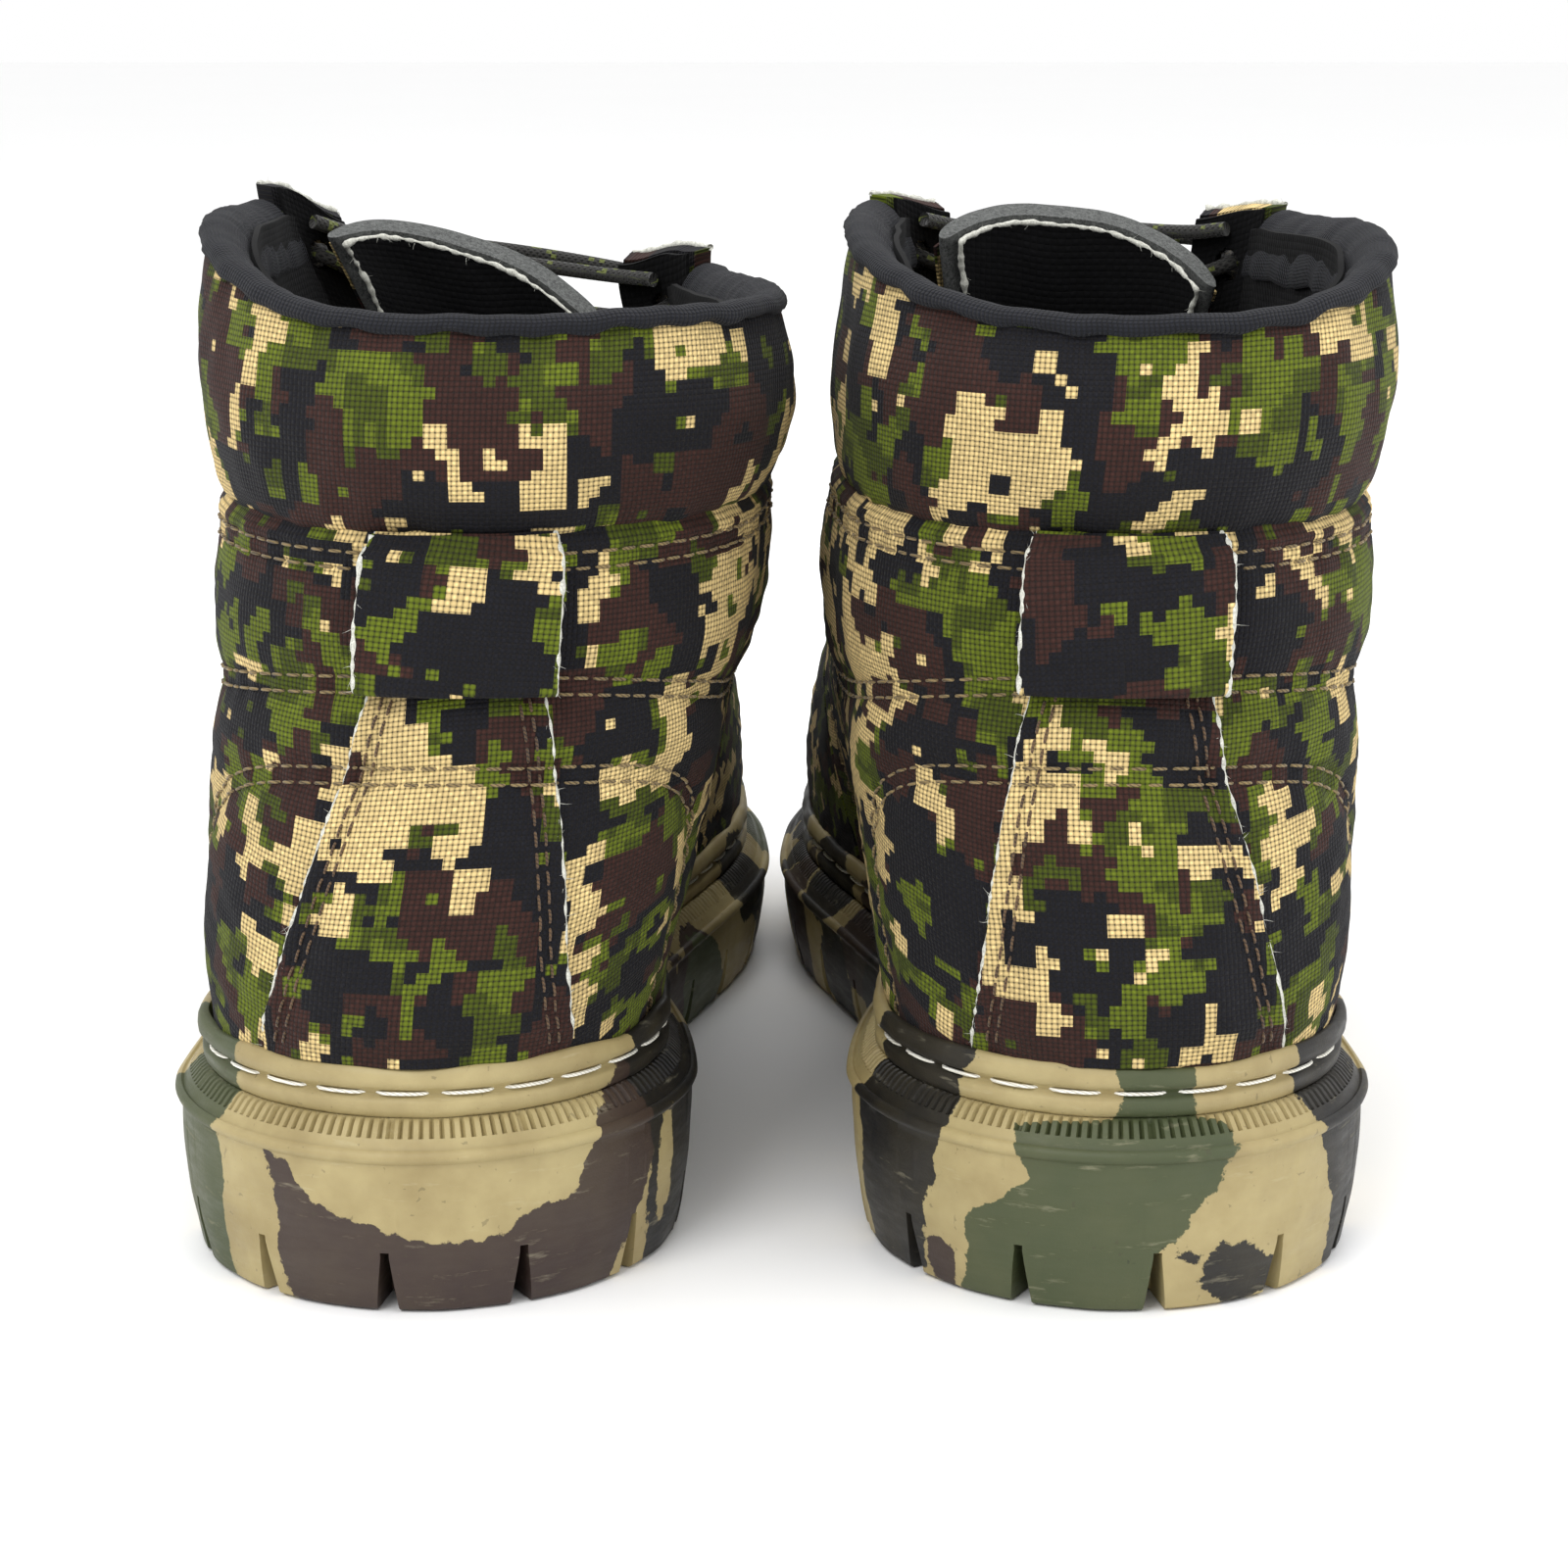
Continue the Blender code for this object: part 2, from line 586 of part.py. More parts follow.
# ---- Upper ----------------------------------------------------------------------------------------
def full_layer(boot, name, rows, layer, slot):
    """A layer all round the boot that opens at the throat above the vamp."""
    columns = [*range(-FRONT + 1, 0), *range(FRONT + 1)]
    grid = column_rows(boot, rows, columns, layer[0])
    count = len(columns)

    def keep(r, c):
        if rows[r] < THROAT:
            return True
        a, b = columns[c], columns[(c + 1) % count]
        return max(abs(a), abs(b)) <= EYE

    item = boot.sheet(name, grid, slot, keep, closed=True)
    return boot.solidify(item, layer[1])


def make_layers(boot):
    full_layer(boot, "insulation", ROWS, INSULATION, "insulation_felt")
    full_layer(boot, "lining", (*ROWS, 7.0, TOP), LINING, "lining_textile")

    puff = column_rows(boot, PUFF_ROWS, bridge_columns(EDGE + 2), STIFFENER[0])
    boot.solidify(boot.sheet("toe_puff", puff, "stiffener"), STIFFENER[1])

    counter_rows = ROWS[: len(COUNTER_REACH) + 1]
    counter_columns = list(range(-COUNTER_REACH[0], COUNTER_REACH[0] + 1))
    counter = column_rows(boot, counter_rows, counter_columns, STIFFENER[0])

    def keep(r, c):
        return max(abs(counter_columns[c]), abs(counter_columns[c + 1])) <= COUNTER_REACH[r]

    boot.solidify(boot.sheet("heel_counter", counter, "stiffener", keep), STIFFENER[1])


def make_panels(boot):
    vamp = column_rows(boot, VAMP_ROWS, bridge_columns(EDGE), SHELL[0], PANEL_GAP_ANGLE)
    boot.solidify(boot.sheet("vamp", vamp, "camo_canvas"), SHELL[1])

    for side, columns in (("lateral", range(-EDGE, 1)), ("medial", range(0, EDGE + 1))):
        columns = list(columns)
        grid = column_rows(boot, ROWS, columns, SHELL[0], PANEL_GAP_ANGLE)

        def keep(r, c, columns=columns):
            return ROWS[r] < THROAT or max(abs(columns[c]), abs(columns[c + 1])) <= EYE

        panel = boot.sheet(f"quarter_{side}", grid, "camo_canvas", keep)
        boot.solidify(panel, SHELL[1])


def make_collar(boot):
    columns = list(range(-EYE, EYE + 1))
    pad = column_rows(boot, COLLAR_ROWS, columns, 0.0)
    boot.solidify(boot.sheet("collar_pad", pad, "camo_canvas"), COLLAR_PAD_THICKNESS)

    inner, over = BINDING_IN, BINDING_OUT
    flap = TOP - BINDING_FLAP
    rows = [[], [], [], []]
    for c in columns:
        angle = column_angle(TOP, c)
        top = surface(boot.name, TOP, angle)[2] + over
        section = ((over, top - BINDING_DEPTH), (over, top), (-inner, top), (-inner, top - BINDING_DEPTH))
        for row, (out, z) in zip(rows, section):
            point = shell_point(boot.name, TOP - 0.02, angle, out, level=True)
            if z < top:
                low = shell_point(boot.name, flap, column_angle(flap, c), out, level=True)
                point[:2] = low[:2]
            point[2] = z
            row.append(point)
    binding = boot.sheet("collar_binding", rows, "knit_binding")
    boot.solidify(binding, BINDING_THICKNESS, outward=True)


def make_heel_trim(boot):
    low, high = STAY_HALF_WIDTHS
    foot, neck = STAY_Z
    rows = []
    for t in STAY_ROWS:
        z = surface(boot.name, t, 0.0)[2]
        half = low + (high - low) * min((z - foot) / (neck - foot), 1.0)
        reach = angle_at_width(boot.name, t, half)
        rows.append([shell_point(boot.name, t, reach * k / 3, STAY_OUT) for k in range(-3, 4)])
    boot.solidify(boot.sheet("back_stay", rows, "camo_canvas"), STAY_THICKNESS, outward=True)

    middle = (LOOP_INNER + LOOP_OUTER) / 2
    section = (
        (LOOP_TOP, LOOP_INNER),
        ((LOOP_TOP + LOOP_FOLD) / 2, LOOP_INNER),
        (LOOP_FOLD + LOOP_TURN, LOOP_INNER),
        (LOOP_FOLD, middle),
        (LOOP_FOLD + LOOP_TURN, LOOP_OUTER),
        ((LOOP_TOP + LOOP_FOLD) / 2, LOOP_OUTER),
        (LOOP_TOP, LOOP_OUTER),
    )
    rows = []
    for t, out in reversed(section):
        reach = angle_at_width(boot.name, t, LOOP_HALF_WIDTH)
        rows.append([shell_point(boot.name, t, reach * k / 2, out) for k in range(-2, 3)])
    loop = boot.sheet("pull_loop", rows, "camo_canvas", origin=LOOP_HINGE)
    solid = boot.solidify(loop, LOOP_THICKNESS)
    solid.modifiers["thickness"].offset = 0.0


# ---- Throat: tongue, eyestays, eyelets and lace ---------------------------------------------------
def inner_front_point(boot, t, arc, depth):
    """The point at an arc length from the front centre line, depth below the outer surface."""
    side = -1 if arc < 0 else 1
    angle, run, step = math.pi, 0.0, 0.01
    point = shell_point(boot.name, t, angle, -depth)
    while run < abs(arc):
        angle += side * step
        ahead = shell_point(boot.name, t, angle, -depth)
        run += np.linalg.norm(ahead - point)
        point = ahead
    return point


def make_tongue(boot):
    """The padded tongue under the eyestays, its origin on the line where it is sewn to the vamp."""
    first, last = TONGUE_HALF_ARC
    rows = []
    for k, t in enumerate(TONGUE_ROWS):
        share = k / (len(TONGUE_ROWS) - 1)
        half = first + (last - first) * share
        depth = TONGUE_DEPTHS[0] + (TONGUE_DEPTHS[1] - TONGUE_DEPTHS[0]) * share
        row = []
        for c in range(-TONGUE_COLUMNS, TONGUE_COLUMNS + 1):
            wanted = half * abs(c) / TONGUE_COLUMNS
            row.append(inner_front_point(boot, t, math.copysign(wanted, c), depth))
        rows.append(row)
    tongue = boot.sheet("tongue", rows, "tongue_felt", origin=TONGUE_HINGE)
    boot.solidify(tongue, TONGUE_THICKNESS)


def eyelet_places():
    """Ring heights of the eyelets, bottom first."""
    span = EYELET_LAST - EYELET_FIRST
    return [EYELET_FIRST + span * (k / (EYELET_COUNT - 1)) ** EYELET_CREEP for k in range(EYELET_COUNT)]


def eyelet_frames(boot, side):
    """Centre and outward normal of each eyelet on one side, bottom first."""
    angle = side * (THROAT_ANGLE - EYESTAY_ANGLE * EYELET_SHARE)
    return [(surface(boot.name, t, angle), normal(boot.name, t, angle)) for t in eyelet_places()]


def posts(boot, name, frames, radius):
    """One cutter made of a short cylinder on every eyelet's axis."""
    low, high = POST_REACH
    bm = bmesh.new()
    for centre, out in frames:
        middle = boot.place(centre + out * (low + high) / 2)
        direction = boot.place(out)
        turn = direction.to_track_quat("Z", "Y").to_matrix().to_4x4()
        place = Matrix.Translation(middle) @ turn
        bmesh.ops.create_cone(
            bm,
            cap_ends=True,
            segments=EYELET_SIDES,
            radius1=radius,
            radius2=radius,
            depth=high - low,
            matrix=place,
        )
    data = bpy.data.meshes.new(name)
    bm.to_mesh(data)
    bm.free()
    item = bpy.data.objects.new(f"{boot.name}_{name}", data)
    return boot.adopt(item, None, collection=boot.cutters)


def grommets(boot, name, frames):
    """A turned eyelet on every axis: a tube with a rolled flange outside."""
    low = -TAPE_DEPTH - TAPE_THICKNESS - 0.0002
    profile = (
        (EYELET_BORE, low),
        (EYELET_TUBE, low),
        (EYELET_TUBE, FLANGE_RISE),
        (EYELET_FLANGE, FLANGE_RISE),
        (EYELET_FLANGE - 0.0005, FLANGE_RISE + 0.0007),
        (EYELET_BORE, FLANGE_RISE + 0.0006),
    )
    data = bpy.data.meshes.new("profile")
    edges = [(k, (k + 1) % len(profile)) for k in range(len(profile))]
    data.from_pydata([(x, 0.0, z) for x, z in profile], edges, [])
    seed = bpy.data.objects.new("profile", data)
    boot.cutters.objects.link(seed)
    turn = seed.modifiers.new("turn", "SCREW")
    turn.steps = turn.render_steps = EYELET_SIDES
    turn.use_merge_vertices = True
    turn.merge_threshold = 0.00001
    turned = bpy.data.meshes.new_from_object(seed.evaluated_get(bpy.context.evaluated_depsgraph_get()))
    bm = bmesh.new()
    for centre, out in frames:
        before = set(bm.verts)
        bm.from_mesh(turned)
        added = [v for v in bm.verts if v not in before]
        direction = boot.place(out)
        turn_to = direction.to_track_quat("Z", "Y").to_matrix().to_4x4()
        place = Matrix.Translation(boot.place(centre)) @ turn_to
        bmesh.ops.transform(bm, matrix=place, verts=added)
    bmesh.ops.recalc_face_normals(bm, faces=bm.faces)
    joined = bpy.data.meshes.new(name)
    bm.to_mesh(joined)
    bm.free()
    bpy.data.objects.remove(seed, do_unlink=True)
    item = bpy.data.objects.new(f"{boot.name}_{name}", joined)
    return boot.adopt(item, None, collection=boot.cutters)


def make_eyestays(boot):
    for side, sign in (("lateral", -1), ("medial", 1)):
        frames = eyelet_frames(boot, sign)
        rows, tape = [], []
        for t in EYESTAY_ROWS:
            ends = [EYESTAY_ANGLE - PANEL_GAP_ANGLE * EYESTAY_GAP, EYESTAY_ANGLE / 2, 0.0]
            angles = [sign * (THROAT_ANGLE - share) for share in ends]
            if sign < 0:
                angles.reverse()
            rows.append([shell_point(boot.name, t, a) for a in angles])
        for t in TAPE_ROWS:
            middle = sign * (THROAT_ANGLE - EYESTAY_ANGLE * EYELET_SHARE)
            reach = EYESTAY_ANGLE * TAPE_SHARE
            tape.append([shell_point(boot.name, t, middle + k * reach, -TAPE_DEPTH) for k in (-1, 0, 1)])
        stay = boot.sheet(f"eyestay_{side}", rows, "camo_canvas")
        boot.solidify(stay, EYESTAY_THICKNESS)
        boot.cut(stay, posts(boot, f"eyestay_holes_{side}", frames, EYELET_HOLE))
        strip = boot.sheet(f"eyelets_{side}", tape, "blackened_metal")
        boot.solidify(strip, TAPE_THICKNESS)
        bores = posts(boot, f"tape_holes_{side}", frames, (EYELET_BORE + EYELET_TUBE) / 2)
        boot.cut(strip, bores)
        boot.cut(strip, grommets(boot, f"grommets_{side}", frames), "UNION")


def lace_route(boot):
    """The lace's centre line: a bar across the lowest eyelets, then crossed up to the top pair.

    It comes out of every eyelet from below, crosses the tongue and dives under the other eyestay.
    Both ends are tucked under the eyestays above the top pair.
    """
    places = eyelet_places()
    angle = THROAT_ANGLE - EYESTAY_ANGLE * EYELET_SHARE

    def at(side, t, out, a=angle):
        return shell_point(boot.name, t, side * a, out)

    def half(side):
        """From the lowest eyelet on one side to the tucked end; side is -1 lateral, 1 medial."""
        crossing = LACE_OVER if side > 0 else LACE_UNDER
        points = [at(side, places[0], out) for out in (LACE_OUTSIDE, LACE_IN_HOLE, LACE_INSIDE)]
        here = side
        for k in range(EYELET_COUNT):
            tucked = k == EYELET_COUNT - 1
            low = places[k]
            high = low + LACE_TUCK if tucked else places[k + 1]
            rise = high - low
            edge = LACE_INSIDE if k == 0 else LACE_EDGE_OUT
            points.append(at(here, low + rise * 0.25, edge, LACE_EDGE_ANGLE))
            middle = LACE_UNDERPASS if k == 0 and side < 0 else crossing
            points.append(at(here, low + rise * 0.5, middle, math.pi))
            points.append(at(-here, low + rise * 0.75, LACE_EDGE_IN, LACE_EDGE_ANGLE))
            points.append(at(-here, high, LACE_INSIDE))
            if not tucked:
                points += [at(-here, high, LACE_IN_HOLE), at(-here, high, LACE_OUTSIDE)]
            here = -here
        return points

    bar = [at(side, places[0], LACE_OUTSIDE - 0.0004, LACE_EDGE_ANGLE) for side in (-1, 1)]
    return [*reversed(half(-1)), *bar, *half(1)]


def make_lace(boot):
    boot.tube("lace", lace_route(boot), LACE_RADIUS, 1, "lace_cord")


# ---- The pair -------------------------------------------------------------------------------------
def main():
    clear_scene()
    parts = new_collection("insulated_hunting_boots")
    cutters = new_collection("cutters")
    for name in ("left", "right"):
        boot = Boot(name, parts, cutters)
        make_sole(boot)
        make_rand(boot)
        make_layers(boot)
        make_panels(boot)
        make_collar(boot)
        make_heel_trim(boot)
        make_tongue(boot)
        make_eyestays(boot)
        make_lace(boot)
    bpy.context.view_layer.update()


main()
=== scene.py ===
"""Looks for the pair of insulated hunting boots: fine surfaces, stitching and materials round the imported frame.

Every visible piece is built from the same lofted boot surface as the frame's solids, in each boot's own
frame: x runs from the boot's centre line towards the other boot (the medial side), y from the back of the
heel to the toe, z up from the floor. Metres throughout; shader coordinates are in millimetres.
"""

import math

import bpy
import numpy as np
from mathutils import Matrix, Vector
from mathutils.kdtree import KDTree


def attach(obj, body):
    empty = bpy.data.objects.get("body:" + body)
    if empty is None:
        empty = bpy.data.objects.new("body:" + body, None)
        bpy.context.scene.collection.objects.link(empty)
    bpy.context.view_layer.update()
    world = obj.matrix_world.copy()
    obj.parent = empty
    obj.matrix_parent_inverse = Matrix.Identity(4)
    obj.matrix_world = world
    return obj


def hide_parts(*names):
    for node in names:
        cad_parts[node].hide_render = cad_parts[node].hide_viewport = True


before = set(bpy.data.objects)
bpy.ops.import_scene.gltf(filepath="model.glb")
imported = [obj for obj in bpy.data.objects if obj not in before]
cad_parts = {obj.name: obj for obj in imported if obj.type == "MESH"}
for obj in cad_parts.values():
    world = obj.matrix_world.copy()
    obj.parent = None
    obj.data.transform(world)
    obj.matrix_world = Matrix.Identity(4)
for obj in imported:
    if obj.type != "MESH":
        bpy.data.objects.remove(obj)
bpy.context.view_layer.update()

MM = 0.001

# ---- The boot's driving dimensions, as in the frame ------------------------------------------------
SOLE_LENGTH = 0.300
BOOT_CENTRE_X = 0.0554
LEAN = {"left": 0.0055, "right": -0.0055}
MEDIAL_SHIFT = 0.005
TOE_SHIFT = 0.004
COLLAR_LIFT = {  # rise of the collar's edge at the ankle and at its front corner, lateral then medial
    "left": ((0.0065, 0.0012), (-0.0040, -0.0100)),
    "right": ((0.0050, -0.0006), (0.0050, 0.0012)),
}
EYESTAY_CREST = {"left": 0.0030, "right": 0.0012}  # how far an eyestay's top stands above the collar
SPREAD = {  # what each ring's half width gains, lateral then medial
    "left": (
        (0.0, 0.0006, 0.0017, 0.0016, 0.0011, -0.0002, -0.0006, -0.0026, -0.0028),
        (0.0, 0.0, 0.0, 0.0, 0.0010, 0.0009, 0.0010, 0.0012, 0.0012),
    ),
    "right": (
        (0.0, 0.0012, 0.0022, 0.0022, 0.0018, 0.0009, -0.0008, -0.0036, -0.0040),
        (0.0, -0.0002, -0.0006, -0.0006, -0.0006, -0.0008, -0.0016, -0.0046, -0.0046),
    ),
}

FLANGE = 0.007
BEAD_HEEL_Z = 0.026
BEAD_FOREFOOT_Z = 0.018
BEAD_TOE_LIFT = 0.0065
TOE_SPRING = 0.0085
SPRING_START_Y = 0.215
PLATFORM_RISE = 0.005
UPPER_RISE = PLATFORM_RISE + 0.0009
RAND_RISE = 0.013

WIDTH_STATIONS = (0.12, 0.40, 0.70, 0.95)
RINGS = (
    # back y, z      front y, z      lateral half widths             medial half widths              front R
    (0.0070, 0.0310, 0.2930, 0.0300, (0.0350, 0.0330, 0.0485, 0.038), (0.0350, 0.0260, 0.0430, 0.038), 0.055),
    (0.0045, 0.0500, 0.2915, 0.0490, (0.0375, 0.0360, 0.0485, 0.041), (0.0375, 0.0320, 0.0440, 0.041), 0.055),
    (0.0055, 0.0680, 0.2790, 0.0670, (0.0385, 0.0385, 0.0445, 0.036), (0.0385, 0.0380, 0.0420, 0.036), 0.050),
    (0.0080, 0.0840, 0.2480, 0.0830, (0.0395, 0.0405, 0.0375, 0.029), (0.0395, 0.0420, 0.0380, 0.029), 0.045),
    (0.0105, 0.0970, 0.2080, 0.0960, (0.0405, 0.0420, 0.0350, 0.026), (0.0405, 0.0430, 0.0360, 0.026), 0.040),
    (0.0125, 0.1100, 0.1810, 0.1100, (0.0415, 0.0440, 0.0380, 0.030), (0.0415, 0.0450, 0.0380, 0.030), 0.036),
    (0.0135, 0.1200, 0.1610, 0.1240, (0.0420, 0.0450, 0.0410, 0.035), (0.0420, 0.0450, 0.0410, 0.035), 0.031),
    (0.0090, 0.1370, 0.1470, 0.1430, (0.0450, 0.0480, 0.0450, 0.040), (0.0450, 0.0480, 0.0450, 0.040), 0.026),
    (0.0130, 0.1530, 0.1380, 0.1630, (0.0440, 0.0470, 0.0450, 0.042), (0.0440, 0.0470, 0.0450, 0.042), 0.023),
)
SOLE_FOLLOW = (1.0, 0.8, 0.35, 0.0, 0.0, 0.0, 0.0, 0.0, 0.0)
LIFT_SHARE = (0.0, 0.0, 0.0, 0.0, 0.0, 0.0, 0.15, 0.6, 1.0)  # how far a ring takes the corner lift
TOP = len(RINGS) - 1.0
HEEL_RADIUS = 0.038
THROAT = 4.0
COLLAR = 6.0
EYE, EDGE, FRONT = 8, 9, 14
SEAM_ANGLE = math.radians(95)
THROAT_ANGLE = math.radians(156)
EYESTAY_ANGLE = math.radians(20)
STAY_HALF_WIDTHS = (0.0234, 0.0135)
STAY_Z = (0.041, 0.095)
LOOP_HALF_WIDTH = 0.0140
LOOP_TOP, LOOP_FOLD = 6.02, 3.95
TONGUE_DEPTHS, TONGUE_THICKNESS = (0.0095, 0.0118), 0.0045
TONGUE_HALF_ARC = (0.020, 0.0295)
TONGUE_TILT = {"left": 0.0042, "right": -0.0030}  # rise of its top edge to the lateral side
TONGUE_ARCH = (0.0030, 0.0105)  # rise of its top edge in the middle, and its fall from there to the sides
EYELET_COUNT = 5
EYELET_FIRST, EYELET_LAST = 4.36, 7.52
EYELET_ANGLE = THROAT_ANGLE - EYESTAY_ANGLE * 0.48
LACE_RADIUS = 0.0013


# ---- The boot's surface ----------------------------------------------------------------------------
def through(x, places, values):
    """A smooth curve through values at places, flat beyond both ends."""
    places, values = np.asarray(places, float), np.asarray(values, float)
    slopes = np.gradient(values, places)
    slopes[0] = slopes[-1] = 0.0
    x = np.clip(x, places[0], places[-1])
    i = np.clip(np.searchsorted(places, x) - 1, 0, len(places) - 2)
    step = places[i + 1] - places[i]
    u = (x - places[i]) / step
    rise = u * u * (3 - 2 * u)
    start = u * (1 - u) ** 2 * step * slopes[i]
    end = u * u * (1 - u) * step * slopes[i + 1]
    return values[i] + (values[i + 1] - values[i]) * rise + start - end


def ease(x):
    x = np.clip(x, 0.0, 1.0)
    return x * x * (3 - 2 * x)


def spring(y):
    return (np.clip(y - SPRING_START_Y, 0.0, None) / (SOLE_LENGTH - SPRING_START_Y)) ** 2


def floor_z(y):
    """Height of the sole's underside."""
    return TOE_SPRING * spring(np.clip(y, 0.0, SOLE_LENGTH))


def bead_z(y):
    """Height of the bead round the sole."""
    y = np.clip(y, 0.0, SOLE_LENGTH)
    drop = (BEAD_HEEL_Z - BEAD_FOREFOOT_Z) * ease((y - 0.060) / 0.090)
    return BEAD_HEEL_Z - drop + BEAD_TOE_LIFT * spring(y)


def end_factor(distance, radius):
    return np.sqrt(np.clip(1 - (1 - np.minimum(distance / radius, 1.0)) ** 2, 0.0, 1.0))


def wrapped(angle):
    return (angle + math.pi) % (2 * math.pi) - math.pi


def ring_points(boot, index, angle):
    """Points of one ring; angle 0 is the back, pi the front, and negative angles are lateral."""
    back_y, back_z, front_y, front_z, lateral, medial, front_radius = RINGS[index]
    share = (1 - np.cos(angle)) / 2
    length = front_y - back_y
    y = back_y + length * share
    inner = angle > 0
    width = np.where(
        inner, through(share, WIDTH_STATIONS, medial), through(share, WIDTH_STATIONS, lateral)
    )
    width = width + np.where(inner, SPREAD[boot][1][index], SPREAD[boot][0][index])
    width = width * end_factor(length * share, HEEL_RADIUS)
    width = width * end_factor(length * (1 - share), front_radius)
    chord_z = back_z + (front_z - back_z) * share
    sole_chord = bead_z(back_y) + (bead_z(front_y) - bead_z(back_y)) * share
    z = chord_z + SOLE_FOLLOW[index] * (bead_z(y) - sole_chord)
    if index == 0:
        z = bead_z(y) + UPPER_RISE
    swing = np.clip(np.sin(angle) / 0.62, -1.0, 1.0)
    lateral_lift, medial_lift = (
        through(np.abs(angle), (0.30, 1.35, 2.37), (0.0, *lifts)) for lifts in COLLAR_LIFT[boot]
    )
    lift = (lateral_lift + medial_lift) / 2 + (medial_lift - lateral_lift) / 2 * swing
    z = z + lift * LIFT_SHARE[index]
    x = TOE_SHIFT * ease(y / SOLE_LENGTH) + np.where(inner, width, -width)
    return np.stack([x, y, z], -1)


def surface(boot, t, angle):
    """Points of the upper's outer surface at ring heights t and angles."""
    t, angle = np.broadcast_arrays(np.asarray(t, float), np.asarray(angle, float))
    shape = t.shape
    t, angle = t.ravel(), wrapped(angle.ravel())
    rings = [ring_points(boot, k, angle) for k in range(len(RINGS))]
    rings = np.stack([2 * rings[0] - rings[1], *rings, 2 * rings[-1] - rings[-2]])
    i = np.clip(np.floor(np.maximum(t, 0.0)).astype(int), 0, len(RINGS) - 2)
    u = (t - i)[:, None]
    n = np.arange(len(t))
    p0, p1, p2, p3 = (rings[i + k, n] for k in range(4))
    m1, m2 = (p2 - p0) / 2, (p3 - p1) / 2
    point = (2 * u**3 - 3 * u**2 + 1) * p1 + (u**3 - 2 * u**2 + u) * m1
    point = point + (3 * u**2 - 2 * u**3) * p2 + (u**3 - u**2) * m2
    height = np.maximum(0.0, point[:, 2] - 0.035)
    ankle = 1 - ease((point[:, 1] - 0.10) / 0.12)
    flare = ease((t - COLLAR) / 2)  # the collar's front corners stand out from the lean of the heel
    ankle = ankle + (1 - ease((point[:, 1] - 0.02) / 0.12) - ankle) * flare
    point[:, 0] += ankle * (MEDIAL_SHIFT * ease(height / 0.055) + LEAN[boot] * (height / 0.115) ** 1.2)
    return point.reshape(*shape, 3)


def unit(vectors):
    return vectors / np.maximum(np.linalg.norm(vectors, axis=-1, keepdims=True), 1e-12)


def outward(boot, t, angle):
    """Unit normals of the boot's surface."""
    t, angle = np.broadcast_arrays(np.asarray(t, float), np.asarray(angle, float))
    up = surface(boot, np.minimum(t + 0.05, TOP), angle) - surface(boot, np.maximum(t - 0.05, 0.0), angle)
    along = surface(boot, t, angle + 0.02) - surface(boot, t, angle - 0.02)
    return unit(np.cross(along, up))


def column_angle(t, column):
    """Angle of a column at ring height t: columns bend forward with the vamp seam and the throat."""
    t, column = np.broadcast_arrays(np.asarray(t, float), np.asarray(column, float))
    edge = SEAM_ANGLE + (THROAT_ANGLE - SEAM_ANGLE) * np.clip(t / THROAT, 0.0, 1.0) ** 2
    eye = edge - EYESTAY_ANGLE
    step = np.abs(column)
    front = edge + (math.pi - edge) * (step - EDGE) / (FRONT - EDGE)
    angle = np.where(step <= EYE, eye * step / EYE, np.where(step <= EDGE, eye + (edge - eye) * (step - EYE), front))
    return np.copysign(angle, column)


def feather(angle):
    """Plan of the line where upper meets sole, and its level outward directions."""
    angle = wrapped(np.asarray(angle, float))
    here = ring_points("left", 0, angle)
    along = ring_points("left", 0, wrapped(angle + 0.01)) - ring_points("left", 0, wrapped(angle - 0.01))
    out = unit(np.stack([along[..., 1], -along[..., 0], np.zeros_like(along[..., 0])], -1))
    return here[..., :2], out[..., :2]


def angle_at_width(boot, t, half_width):
    """Angles from the back centre line at which the surface is half_width away along x."""
    t = np.asarray(t, float)
    half_width = np.broadcast_to(half_width, t.shape)
    centre = surface(boot, t, np.zeros_like(t))[..., 0]
    low, high = np.zeros_like(t), np.full_like(t, math.radians(75))
    for _ in range(24):
        middle = (low + high) / 2
        narrow = surface(boot, t, middle)[..., 0] - centre < half_width
        low, high = np.where(narrow, middle, low), np.where(narrow, high, middle)
    return low


def waves(u, v, wavelength, seed, count=7):
    """Soft unevenness: a few sine waves in seeded directions, about 1 high at most places."""
    random = np.random.default_rng(seed)
    total = np.zeros(np.broadcast(u, v).shape)
    for _ in range(count):
        heading, phase = random.uniform(0, math.pi), random.uniform(0, 2 * math.pi)
        pace = 2 * math.pi / (wavelength * random.uniform(0.65, 1.5))
        total = total + np.sin(pace * (math.cos(heading) * u + math.sin(heading) * v) + phase)
    return total / math.sqrt(count)


